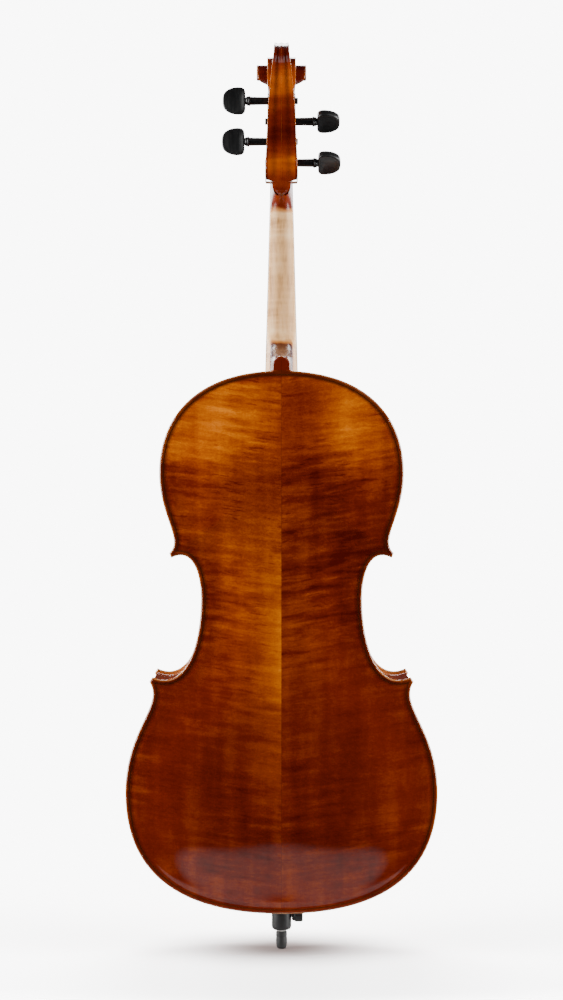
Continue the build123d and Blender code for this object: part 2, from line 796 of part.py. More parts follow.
PLUG_TOP = BODY_BOTTOM + 46.0


def make_plug():
    z = COLLAR_BOTTOM
    seat = BODY_BOTTOM + OVERHANG
    r = COLLAR_R
    points = [(ROD_R + ROD_FIT, z), (r - 5, z), (r - 2.5, z + 0.67), (r - 0.67, z + 2.5),
              (r, z + 5), (r, seat), (12.5, seat), (11, PLUG_TOP), (ROD_R + ROD_FIT, PLUG_TOP)]
    plug = turned_z(points)
    hole = Pos(-COLLAR_R / 2 - 2, 0, CLAMP_Z) * Rot(0, 90, 0)
    return plug - hole * Cylinder(CLAMP_R + 0.05, COLLAR_R + 2)


def plug_tool():
    seat = BODY_BOTTOM + OVERHANG
    return turned_z([(0, seat - 5), (12.5, seat - 5), (12.5, seat), (11, PLUG_TOP), (0, PLUG_TOP)])


def make_ferrule():
    r = ROD_R + ROD_FIT
    z = COLLAR_BOTTOM
    return turned_z([(r, z - 2), (6.0, z - 2), (6.5, z - 1.4), (6.5, z), (r, z)])


def make_tip():
    r = TIP_R
    z = TIP_LONG
    points = [(0, 0), (3.5, 0), (6.0, 1.1), (7.4, 3.0), (r, 5.6), (r, z - 2.4), (r + 0.3, z - 2),
              (r + 0.3, z - 0.6), (r - 0.4, z), (ROD_R, z), (ROD_R, 6), (0, 6)]
    return turned_z(points)


def make_rod():
    low = (Align.CENTER, Align.CENTER, Align.MIN)
    pin = Pos(0, 0, 6) * Cylinder(ROD_R, ROD_LONG, align=low)
    return chamfer(pin.edges().group_by(Axis.Z)[-1], 1.0)


def turned_clamp(points):
    face = make_face(Polyline(*[(-x, r, 0) for x, r in points], close=True).edges())
    return Pos(0, 0, CLAMP_Z) * revolve(face, axis=Axis.X)


def make_clamp_screw():
    x0 = ROD_R + GAP
    return turned_clamp([(x0, 0), (x0, CLAMP_R - 0.5), (x0 + 0.5, CLAMP_R),
                         (27, CLAMP_R), (27, 0)])


def make_clamp_knob():
    x = COLLAR_R + 0.45
    r = KNOB_R
    bore = CLAMP_R + 0.05
    points = [(x, bore), (x, 5), (x + 2, 5), (x + 2, r - 1.6), (x + 3.6, r), (x + 13, r),
              (x + 15, r - 1.2), (x + 15.9, r - 3.4), (x + 15.9, 0), (27.3, 0), (27.3, bore)]
    return turned_clamp(points)


def make_tailgut():
    """The loop from the tailpiece, over the saddle and round the endpin collar."""
    r = 1.5
    edge = SADDLE_TOP + r + 0.5
    low = BODY_BOTTOM - 2.1
    loop = (COLLAR_R + r) / cos(pi / 20)
    right = [tail_point(8, TAIL_LENGTH - 1, -4), (8.5, -edge, BODY_BOTTOM + 7.5),
             (9, -edge, BODY_BOTTOM - 1), (9.5, -edge + 3, low), (loop, 0, low)]
    turn = [(loop * cos(pi * n / 10), loop * sin(pi * n / 10), low) for n in range(1, 10)]
    left = [(-x, y, z) for x, y, z in right[::-1]]
    return rod(right + turn + left, r)


def make_saddle():
    w = SADDLE_WIDTH / 2
    solid = block(-w, w, -SADDLE_TOP, -HALF, BODY_BOTTOM, BODY_BOTTOM + SADDLE_LONG)
    crest = solid.edges().filter_by(Axis.X).group_by(Axis.Y)[0]
    return fillet(crest, 2.5)


def build():
    heel = make_heel()
    plug = plug_tool()
    nodes = {}
    back = arched_plate(1)
    straight, disc = button_face()
    button = prism_y(straight, HALF, HALF + PLATE_EDGE) + prism_y(disc, HALF, HALF + PLATE_EDGE)
    back = back + (button - prism_y(OUTLINE, HALF - 1, HALF + 20))
    nodes["back_half_treble"] = back & block(0, 400, -200, 200, 0, 1200)
    nodes["back_half_bass"] = back & block(-400, 0, -200, 200, 0, 1200)
    nodes["back_purfling"] = purfling(1)
    nodes["saddle"] = make_saddle()
    w = SADDLE_WIDTH / 2
    top = arched_plate(-1) - sound_hole(1) - sound_hole(-1)
    pocket = block(-w, w, -200, -HALF + 1, BODY_BOTTOM - 1, BODY_BOTTOM + SADDLE_LONG)
    top = top - heel - pocket
    nodes["top_half_treble"] = top & block(0, 400, -200, 200, 0, 1200)
    nodes["top_half_bass"] = top & block(-400, 0, -200, 200, 0, 1200)
    nodes["top_purfling"] = purfling(-1) - heel - pocket
    nodes.update(make_ribs(heel, plug))
    blocks = make_blocks(heel, plug)
    nodes.update(blocks)
    nodes.update(make_linings(blocks, heel))
    nodes["bass_bar"] = make_bass_bar()
    nodes["sound_post"] = make_sound_post()
    nodes["neck"] = make_neck()
    nodes["fingerboard"] = make_board()
    strings = [make_string(k) for k in range(4)]
    nut = make_nut()
    bridge = make_bridge()
    fret = make_fret()
    for k, string in enumerate(strings):
        nodes["string_" + STRING_NAMES[k]] = string
        nut = nut - string
        bridge = bridge - string
        fret = fret - string
    nodes["nut"] = nut
    nodes["bridge"] = bridge
    nodes["tailpiece_fret"] = fret
    nodes["tailpiece"] = make_tailpiece()
    nodes["tuner_pins"] = Compound([s for k in range(4) for s in tuner_pin(k).solids()])
    nodes["tailgut"] = make_tailgut() - nodes["tailpiece"]
    for k, name in enumerate(STRING_NAMES):
        nodes["tuner_lever_" + name] = make_lever(k)
        nodes["tuner_screw_" + name] = make_tuner_screw(k)
        nodes["tuner_knob_" + name] = make_tuner_knob(k)
        nodes["peg_" + name] = make_peg(name)
        nodes["winding_" + name] = make_winding(name)
    nodes["endpin_plug"] = make_plug()
    nodes["endpin_ferrule"] = make_ferrule()
    nodes["endpin_rod"] = make_rod()
    nodes["endpin_tip"] = make_tip()
    nodes["clamp_screw"] = make_clamp_screw()
    nodes["clamp_knob"] = make_clamp_knob()
    return nodes


for node_name, shape in build().items():
    export_step(shape, os.path.join("parts", node_name + ".step"))
    print(node_name, round(shape.volume), len(shape.solids()))
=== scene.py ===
import math
import bmesh
import bpy
import numpy as np
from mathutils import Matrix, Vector
from mathutils.geometry import delaunay_2d_cdt

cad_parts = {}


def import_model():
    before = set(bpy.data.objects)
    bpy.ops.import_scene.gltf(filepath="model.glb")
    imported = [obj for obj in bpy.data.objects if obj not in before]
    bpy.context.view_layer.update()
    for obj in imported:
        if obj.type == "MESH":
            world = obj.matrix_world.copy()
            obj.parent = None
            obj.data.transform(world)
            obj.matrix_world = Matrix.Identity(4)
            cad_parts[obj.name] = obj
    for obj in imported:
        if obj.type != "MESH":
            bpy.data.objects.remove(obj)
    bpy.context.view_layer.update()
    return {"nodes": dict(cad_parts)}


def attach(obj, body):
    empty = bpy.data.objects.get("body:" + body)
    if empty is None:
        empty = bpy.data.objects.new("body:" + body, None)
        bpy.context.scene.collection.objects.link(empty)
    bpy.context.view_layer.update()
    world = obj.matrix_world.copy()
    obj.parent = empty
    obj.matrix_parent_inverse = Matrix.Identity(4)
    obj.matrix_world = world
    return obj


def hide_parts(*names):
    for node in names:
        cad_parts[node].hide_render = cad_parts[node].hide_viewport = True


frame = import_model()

MM = 0.001
BODY = "cello_body"
BOTTOM = 62.0          # body's lowest edge above the floor, mm
LENGTH = 755.0
HALF = 59.0            # half the rib height
EDGE = 4.8             # thickness of a plate's edge
SLOPE = math.radians(8.93)
NUT_Z = BOTTOM + LENGTH + 280.0
NUT_Y = -(HALF + EDGE + 22.0) + 280.0 * math.tan(SLOPE)

# ---------------------------------------------------------------- mesh helpers


def new_object(name, mesh):
    ob = bpy.data.objects.new(name, mesh)
    bpy.context.scene.collection.objects.link(ob)
    return ob


def make(name, verts, faces, mat, body=BODY, sharp=35, attrs=None, old=(), weld=0.0):
    """A mesh piece from millimetre points, riding on a body."""
    me = bpy.data.meshes.new(name)
    me.from_pydata([tuple(v) for v in np.asarray(verts, float) * MM], [], [tuple(f) for f in faces])
    me.update()
    for key, values in (attrs or {}).items():
        me.attributes.new(key, "FLOAT", "POINT").data.foreach_set("value", np.asarray(values, np.float32))
    if weld:
        bm = bmesh.new()
        bm.from_mesh(me)
        bmesh.ops.remove_doubles(bm, verts=bm.verts, dist=weld * MM)
        bm.to_mesh(me)
        bm.free()
    me.materials.append(mat)
    me.polygons.foreach_set("use_smooth", [True] * len(me.polygons))
    if sharp < 180:
        me.set_sharp_from_angle(angle=math.radians(sharp))
    ob = new_object(name, me)
    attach(ob, body)
    if old:
        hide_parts(*old)
    return ob


def grid_faces(rows, cols, ring=False, start=0, flip=False):
    out = []
    for i in range(rows - 1):
        for j in range(cols if ring else cols - 1):
            a = start + i * cols + j
            b = start + i * cols + (j + 1) % cols
            quad = (a, b, b + cols, a + cols)
            out.append(quad[::-1] if flip else quad)
    return out


def lathe_points(profile, segs=48):
    """(axial, radius) pairs turned about +X."""
    ang = np.linspace(0, 2 * math.pi, segs, endpoint=False)
    return np.array([(a, r * math.cos(t), r * math.sin(t)) for a, r in profile for t in ang])


def rounded(profile, r=0.6, n=3):
    """Softens the corners of a polyline of (axial, radius) pairs."""
    pts = [np.array(p, float) for p in profile]
    out = [pts[0]]
    for a, b, c in zip(pts, pts[1:], pts[2:]):
        da = min(r, np.linalg.norm(a - b) * 0.45)
        dc = min(r, np.linalg.norm(c - b) * 0.45)
        if da < 1e-6 or dc < 1e-6:
            out.append(b)
            continue
        p0 = b + (a - b) / np.linalg.norm(a - b) * da
        p2 = b + (c - b) / np.linalg.norm(c - b) * dc
        for k in range(n + 1):
            t = k / n
            out.append((1 - t) ** 2 * p0 + 2 * t * (1 - t) * b + t * t * p2)
    out.append(pts[-1])
    return [tuple(p) for p in out]


def place(points, origin, x_dir):
    """Moves points from a frame along +X to one along x_dir at origin."""
    rot = Vector((1, 0, 0)).rotation_difference(Vector(x_dir)).to_matrix()
    return np.asarray(points) @ np.array(rot).T + np.array(origin)


def lathe(name, profile, origin, x_dir, mat, body=BODY, segs=48, r=0.6, old=()):
    prof = rounded(profile, r)
    verts = place(lathe_points(prof, segs), origin, x_dir)
    faces = grid_faces(len(prof), segs, ring=True, flip=True)
    return make(name, verts, faces, mat, body, 40, old=old)


def catmull(points, step=1.5):
    """A smooth curve through points."""
    p = np.array(points, float)
    p = np.vstack([2 * p[0] - p[1], p, 2 * p[-1] - p[-2]])
    out = []
    for i in range(1, len(p) - 2):
        n = max(int(np.linalg.norm(p[i + 1] - p[i]) / step), 1)
        for k in range(n):
            t = k / n
            out.append(0.5 * (2 * p[i] + (p[i + 1] - p[i - 1]) * t
                              + (2 * p[i - 1] - 5 * p[i] + 4 * p[i + 1] - p[i + 2]) * t ** 2
                              + (3 * p[i] - p[i - 1] - 3 * p[i + 1] + p[i + 2]) * t ** 3))
    out.append(p[-2])
    return np.array(out)


# ---------------------------------------------------------------- body outline and arches

CURVES = [
    [(0, 755), (113.05, 755), (170, 696), (170, 613)],
    [(170, 613), (170, 552), (135.5, 520.5), (156, 501.5)],
    [(156, 501.5), (153.3, 494.5)],
    [(153.3, 494.5), (125.3, 509.7), (112, 476.5), (112, 438.5)],
    [(112, 438.5), (112, 367.5), (135.8, 308.8), (179.3, 329.2)],
    [(179.3, 329.2), (183.7, 322.4)],
    [(183.7, 322.4), (162.4, 290), (217, 256.6), (217, 168.6)],
    [(217, 168.6), (217, 68.6), (157, 0), (0, 0)],
]


def bezier(p, n):
    p = np.array(p, float)
    t = np.linspace(0, 1, n)[:, None]
    if len(p) == 2:
        return p[0] * (1 - t) + p[1] * t
    return (1 - t) ** 3 * p[0] + 3 * t * (1 - t) ** 2 * p[1] + 3 * t * t * (1 - t) * p[2] + t ** 3 * p[3]


def lengths(line):
    """Length along a line at each of its points."""
    return np.r_[0, np.cumsum(np.hypot(*np.diff(line, axis=0).T))]


def tangents(line):
    t = np.gradient(line, axis=0)
    return t / np.hypot(t[:, 0], t[:, 1])[:, None]


def resample(line, step):
    s = lengths(line)
    t = np.linspace(0, s[-1], max(int(round(s[-1] / step)), 1) + 1)
    return np.c_[np.interp(t, s, line[:, 0]), np.interp(t, s, line[:, 1])]


def chain(parts, step):
    line = np.vstack([bezier(CURVES[i], 200)[(1 if n else 0):] for n, i in enumerate(parts)])
    return resample(line, step)


CHAINS = [(0, 1), (2,), (3, 4), (5,), (6, 7)]


def outline(step):
    """The right hand outline as a line of points about one step apart."""
    return np.vstack([chain(c, step)[(1 if n else 0):] for n, c in enumerate(CHAINS)])


RIM = outline(1.6)


def distance(line, pts):
    """Distance from each point to a polyline."""
    a, b = line[:-1], line[1:]
    out = np.empty(len(pts))
    order = np.argsort(pts[:, 1])
    for i in range(0, len(pts), 400):
        ids = order[i:i + 400]
        p = pts[ids]
        mid = p.mean(0)
        far = np.hypot(*(p - mid).T).max()
        gap = np.hypot(*(a - mid).T)
        near = gap < gap.min() + 2 * far + 8
        q, r = a[near], (b - a)[near]
        w = p[:, None, :] - q
        t = np.clip((w * r).sum(2) / np.maximum((r ** 2).sum(1), 1e-12), 0, 1)
        out[ids] = np.sqrt(((w - t[..., None] * r) ** 2).sum(2)).min(1)
    return out


def within(ring, pts):
    x, z = pts[:, 0], pts[:, 1]
    odd = np.zeros(len(pts), bool)
    for (x1, z1), (x2, z2) in zip(ring, np.roll(ring, -1, axis=0)):
        lo, hi = (z1, z2) if z1 < z2 else (z2, z1)
        hit = np.nonzero((z > lo) & (z <= hi))[0]
        if len(hit):
            odd[hit] ^= x[hit] < (x2 - x1) * (z[hit] - z1) / (z2 - z1) + x1
    return odd


FULL = np.vstack([RIM, RIM[::-1][1:-1] * (-1, 1)])
BR = 12.8              # half width of the button
BT = LENGTH + 20.0     # its top
INLAY_LINES = (5.0, 5.45, 5.95, 6.4)     # purfling, inside the outline
PLATE_DEEP = 4.6       # wood at a sound hole
GRID = 4.0


def button_rim():
    arc = [(BR * math.sin(t), BT - BR + BR * math.cos(t)) for t in np.linspace(0, math.pi / 2, 16)]
    first = int(np.argmax(RIM[:, 0] > BR + 1.6))
    foot = [(BR, LENGTH + 1.6), (BR + 0.5, LENGTH + 0.3)]
    return resample(np.vstack([arc, foot, RIM[first:]]), 1.6)


def smoothstep(t):
    t = np.clip(t, 0, 1)
    return t * t * (3 - 2 * t)


def arch(pts):
    """Height over the rib plane before the edge is worked, depth inside the outline, and if inside."""
    p = np.c_[np.abs(pts[:, 0]), pts[:, 1]]
    inside = within(FULL, p) | (distance(RIM, p) < 0.02)
    dn = np.where(inside, distance(RIM, p), 0)
    df = distance(RIM, p * (-1, 1))
    phi = (np.maximum(dn, 0.01) ** -2 + np.maximum(df, 0.01) ** -2) ** -0.5
    dome = (1 - (p[:, 0] / 230) ** 2) * (1 - ((p[:, 1] - 400) / 420) ** 2)
    return EDGE + smoothstep((phi - 9) / 90) * (17 + 6 * np.maximum(dome, 0)), dn, inside


def skin(pts, rim):
    """Height with rounded edge, raised border, channel and arch; depth in the outline and the rim."""
    h, dn, inside = arch(pts)
    p = np.c_[np.abs(pts[:, 0]), pts[:, 1]]
    de = distance(rim, p)
    h = h - np.where(inside, 1.15 * np.exp(-((dn - 8.6) / 3.6) ** 2), 0)
    h = h + 0.35 * np.exp(-((de - 3.3) / 1.3) ** 2)
    e = np.clip(1 - de / 2.6, 0, 1)
    return h - 2.7 * (1 - np.sqrt(1 - e * e)), dn, de


def inward(line):
    """Unit normals of the right hand outline, pointing into the body."""
    t = tangents(line)
    return np.c_[t[:, 1], -t[:, 0]]


def ring(line, d):
    """The line moved inwards by d, from the centre plane round to the centre plane."""
    pts = line + inward(line) * d
    pts = pts[(distance(line, pts) > d - 0.07) & (pts[:, 0] >= 0.7)]
    return np.vstack([(0, line[0][1] - d), pts, (0, d)])


def f_hole():
    """Closed loops of one sound hole, treble side."""
    m = 355.0
    line = catmull([(50, 62), (53, 69.5), (58.5, 72.5), (63.5, 66), (66, 52), (66.8, 34), (67.5, 0),
                    (68.2, -36), (69.6, -54), (72.5, -68), (78, -73.5), (83, -70), (85, -62)], 2.0)
    t = np.linspace(0, 1, len(line))
    wide = np.interp(t, [0, 0.08, 0.2, 0.35, 0.5, 0.65, 0.8, 0.92, 1],
                     [1.6, 2.1, 3.0, 4.2, 4.5, 4.3, 3.2, 2.4, 1.8])
    t2 = tangents(line)
    nrm = np.c_[-t2[:, 1], t2[:, 0]]
    left = line + nrm * wide[:, None]
    right = line - nrm * wide[:, None]
    mid = int(np.argmin(np.abs(line[:, 1])))
    left[mid] += nrm[mid] * 2.2
    right[mid] -= nrm[mid] * 2.2
    stem = np.vstack([left, right[::-1]]) + (0, m)
    eyes = []
    for (x, z), r in (((50, 62), 5.5), ((85, -62), 7.0)):
        a = np.linspace(0, 2 * math.pi, 28, endpoint=False)
        eyes.append(np.c_[x + r * np.cos(a), m + z + r * np.sin(a)])
    return [stem] + eyes


def plate_mesh(rim, holes=()):
    """Flat triangulation of half a plate: points and faces."""
    top = rim[0][1]
    mids = np.linspace(top, 0, int(top / 3.2) + 1)
    mids = mids[(mids > 23) & (mids < LENGTH - 23)]
    loop = np.vstack([rim, np.c_[np.zeros(len(mids)), mids][::-1]])
    points = [loop]
    edges = [(i, (i + 1) % len(loop)) for i in range(len(loop))]
    count = len(loop)
    for d in (0.25, 0.7, 1.3, 2.0, 2.8, 3.6, 4.3):
        pts = ring(rim, d)
        points.append(pts)
        count += len(pts)
    fine = outline(1.1)
    for d in (*INLAY_LINES, 7.4, 8.6, 10.2, 12.2, 14.6, 17.6, 21.0):
        pts = ring(fine, d)
        if d in INLAY_LINES:
            gap = np.hypot(*np.diff(pts, axis=0).T)
            edges += [(count + i, count + i + 1) for i in range(len(pts) - 1) if gap[i] < 2.6]
        points.append(pts)
        count += len(pts)
    gx, gz = np.meshgrid(np.arange(2.2, 218, GRID), np.arange(2, 754, GRID))
    gx = gx + (np.arange(gx.shape[0]) % 2 * GRID / 2)[:, None]
    g = np.c_[gx.ravel(), gz.ravel()]
    g = g[within(FULL, g)]
    g = g[distance(RIM, g) > 23.5]
    for hole in holes:
        g = g[distance(np.vstack([hole, hole[:1]]), g) > 1.8]
    points.append(g)
    count += len(g)
    for hole in holes:
        edges += [(count + i, count + (i + 1) % len(hole)) for i in range(len(hole))]
        points.append(hole)
        count += len(hole)
    pts = np.vstack(points)
    res = delaunay_2d_cdt([Vector(p) for p in pts], edges, [], 1, 1e-5)
    co = np.array([tuple(v) for v in res[0]])
    faces = np.array([f for f in res[2] if len(f) == 3])
    mid = co[faces].mean(1)
    keep = np.ones(len(faces), bool)
    for hole in holes:
        keep &= ~within(hole, mid)
    return co, faces[keep]


def used(faces):
    """The points that some faces use, and the faces numbered by them."""
    ids, back = np.unique(faces, return_inverse=True)
    return ids, back.reshape(faces.shape)


def build_plate(side, label, rim, mat, purf, holes=()):
    """Both halves of one plate with their edge, and the inlaid purfling."""
    co, faces = plate_mesh(rim, holes)
    h, dn, de = skin(co, rim)
    mid = co[faces].mean(1)
    gap = distance(RIM, mid)
    inlay = (gap > INLAY_LINES[0]) & (gap < INLAY_LINES[-1]) & within(FULL, mid)
    for sign, name in ((1, "treble"), (-1, "bass")):
        flip = (sign * side) > 0
        v3 = np.c_[sign * co[:, 0], side * (HALF + h), co[:, 1] + BOTTOM]
        ids, tri = used(faces[~inlay])
        tri = tri if flip else tri[:, ::-1]
        verts = list(v3[ids])
        ea = list(de[ids])
        da = list(dn[ids])
        out = [tuple(t) for t in tri]
        line = rim[rim[:, 0] >= 0]
        nrm = inward(line)
        base = len(verts)
        prof = [(0.0, 2.1), (0.25, 1.25), (0.8, 0.55), (1.6, 0.12), (2.4, 0.0), (3.6, 0.0)]
        for d, y in prof:
            q = line + nrm * d
            q[0][0] = 0
            q[-1][0] = 0
            verts += list(np.c_[sign * q[:, 0], np.full(len(q), side * (HALF + y)), q[:, 1] + BOTTOM])
            ea += [d * 0.5] * len(q)
            da += [d] * len(q)
        out += grid_faces(len(prof), len(line), start=base, flip=not flip)
        if len(holes):
            loops = edge_loops(faces, co, rim)
            for a, b in loops:
                n = len(verts)
                pa, pb = v3[a], v3[b]
                down = np.array((0, -side * PLATE_DEEP, 0))
                verts += [pa, pb, pb + down, pa + down]
                ea += [30.0] * 4
                da += [30.0] * 4
                out.append((n, n + 1, n + 2, n + 3) if flip else (n + 3, n + 2, n + 1, n))
        half = "%s_half_%s" % (label, name)
        make(half + "_wood", verts, out, mat, attrs={"rim": ea, "deep": da}, old=(half,), sharp=60,
             weld=0.004)
        ids, tri = used(faces[inlay])
        tri = tri if flip else tri[:, ::-1]
        lift = v3[ids] + (0, side * 0.02, 0)
        ob = make("%s_purfling_%s" % (label, name), lift, [tuple(t) for t in tri], purf,
                  attrs={"deep": dn[ids]}, sharp=180)
        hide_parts(label + "_purfling")


def edge_loops(faces, co, rim):
    """Boundary edges of a triangulation that lie on a sound hole."""
    seen = {}
    for f in faces:
        for a, b in ((f[0], f[1]), (f[1], f[2]), (f[2], f[0])):
            seen[(a, b)] = True
    out = []
    for a, b in seen:
        if (b, a) not in seen:
            m = (co[a] + co[b]) / 2
            if 35 < m[0] < 100 and 270 < m[1] < 440 and distance(rim, m[None])[0] > 15:
                out.append((a, b))
    return out


# ---------------------------------------------------------------- materials


class Mat:
    """A small builder for node materials."""

    def __init__(self, name):
        self.m = bpy.data.materials.new(name)
        self.m.use_nodes = True
        self.t = self.m.node_tree
        self.t.nodes.clear()
        self.bsdf = self.n("ShaderNodeBsdfPrincipled")
        out = self.n("ShaderNodeOutputMaterial")
        self.t.links.new(self.bsdf.outputs[0], out.inputs[0])
        co = self.n("ShaderNodeTexCoord")
        self.obj = co.outputs["Object"]
        sep = self.n("ShaderNodeSeparateXYZ", i={0: self.obj})
        self.x, self.y, self.z = sep.outputs

    def n(self, kind, p=None, i=None):
        node = self.t.nodes.new(kind)
        for k, v in (p or {}).items():
            setattr(node, k, v)
        for k, v in (i or {}).items():
            self.put(node.inputs[k], v)
        return node

    def put(self, socket, v):
        if isinstance(v, bpy.types.NodeSocket):
            self.t.links.new(v, socket)
        elif isinstance(v, (tuple, list)) and len(v) == 3 and socket.type == "RGBA":
            socket.default_value = (*v, 1)
        else:
            socket.default_value = v

    def math(self, op, a, b=0.0):
        return self.n("ShaderNodeMath", {"operation": op}, {0: a, 1: b}).outputs[0]

    def add(self, *terms):
        out = terms[0]
        for term in terms[1:]:
            out = self.math("ADD", out, term)
        return out

    def sub(self, a, b):
        return self.math("SUBTRACT", a, b)

    def mul(self, a, b):
        return self.math("MULTIPLY", a, b)

    def div(self, a, b):
        return self.math("DIVIDE", a, b)

    def abs(self, a):
        return self.math("ABSOLUTE", a)

    def mix(self, f, a, b):
        return self.n("ShaderNodeMix", {"data_type": "RGBA", "clamp_factor": True},
                      {0: f, 6: a, 7: b}).outputs[2]

    def ramp(self, f, stops):
        node = self.n("ShaderNodeValToRGB", i={0: f})
        e = node.color_ramp.elements
        while len(e) < len(stops):
            e.new(0.5)
        for el, (pos, col) in zip(e, stops):
            el.position = pos
            el.color = (*col, 1) if len(col) == 3 else col
        return node.outputs[0]

    def vec(self, x=0.0, y=0.0, z=0.0):
        return self.n("ShaderNodeCombineXYZ", i={0: x, 1: y, 2: z}).outputs[0]

    def noise(self, v, scale=1.0, detail=3.0, rough=0.5, distort=0.0):
        return self.n("ShaderNodeTexNoise", i={"Vector": v, "Scale": scale, "Detail": detail,
                                               "Roughness": rough, "Distortion": distort}).outputs[0]

    def scale(self, v, s):
        return self.n("ShaderNodeVectorMath", {"operation": "MULTIPLY"}, {0: v, 1: s}).outputs[0]

    def range(self, v, a, b, c=0.0, d=1.0):
        """A smooth step from c to d as v goes from a to b."""
        kind = {"interpolation_type": "SMOOTHSTEP"}
        return self.n("ShaderNodeMapRange", kind, {0: v, 1: a, 2: b, 3: c, 4: d}).outputs[0]

    def attr(self, name):
        return self.n("ShaderNodeAttribute", {"attribute_name": name}).outputs["Fac"]

    def blob(self, cx, cz, sx, sz):
        """A soft round patch in the X, Z plane, 1 in its middle."""
        dx = self.div(self.sub(self.x, cx), sx)
        dz = self.div(self.sub(self.z, cz), sz)
        r = self.add(self.mul(dx, dx), self.mul(dz, dz))
        return self.math("EXPONENT", self.mul(r, -1.0))

    def bump(self, height, strength=0.2, dist=0.0005):
        node = self.n("ShaderNodeBump", i={"Strength": strength, "Distance": dist, "Height": height})
        self.put(self.bsdf.inputs["Normal"], node.outputs[0])

    def set(self, **kw):
        for k, v in kw.items():
            self.put(self.bsdf.inputs[k.replace("_", " ")], v)


VARNISH = [(0.0, (0.060, 0.0022, 0.0005)), (0.22, (0.125, 0.0085, 0.0006)), (0.42, (0.220, 0.0270, 0.0007)),
           (0.62, (0.360, 0.0660, 0.0008)), (0.82, (0.530, 0.1270, 0.0010)), (1.0, (0.680, 0.1950, 0.0015))]


def flame(m, u, p, seed, fine=1.0):
    """Curly figure: short bars across the grain, in patches."""
    v = m.vec(m.mul(u, 15.0), m.mul(p, 88.0 * fine), seed)
    a = m.noise(v, 1.0, 2.0, 0.5, 0.35)
    v2 = m.vec(m.mul(u, 26.0), m.mul(p, 190.0 * fine), m.add(seed, 4.0))
    b = m.noise(v2, 1.0, 2.0, 0.5, 0.2)
    patch = m.range(m.noise(m.vec(m.mul(u, 9.0), m.mul(p, 7.0), m.add(seed, 9.0)), 1.0, 1.0), 0.3, 0.7)
    mixd = m.add(m.sub(a, 0.5), m.mul(m.sub(b, 0.5), 0.4))
    return m.mul(mixd, m.add(m.mul(patch, 0.8), 0.35))


def pores(m, along, across, seed=0.0):
    """Fine streaks with the grain, about -0.5 to 0.5."""
    v = m.vec(m.mul(across, 1100.0), m.mul(along, 60.0), seed)
    return m.sub(m.noise(v, 1.0, 2.0, 0.6), 0.5)


def mottle(m, scale, seed=0.0):
    v = m.n("ShaderNodeVectorMath", {"operation": "ADD"}, {0: m.obj, 1: (seed, seed, seed)}).outputs[0]
    return m.sub(m.noise(v, scale, 3.0, 0.55), 0.5)


def fleck(m):
    """Fine shimmering grain: short wavy flecks across the plate."""
    warp = m.n("ShaderNodeTexNoise", i={"Vector": m.obj, "Scale": 70.0, "Detail": 2.0}).outputs[1]
    v = m.n("ShaderNodeVectorMath", {"operation": "ADD"},
            {0: m.obj, 1: m.scale(warp, (0.012, 0.012, 0.012))}).outputs[0]
    a = m.noise(m.scale(v, (330.0, 330.0, 560.0)), 1.0, 2.0, 0.6)
    b = m.noise(m.scale(v, (150.0, 150.0, 420.0)), 1.0, 2.0, 0.55)
    return m.add(m.mul(m.sub(a, 0.5), 0.6), m.mul(m.sub(b, 0.5), 0.6))


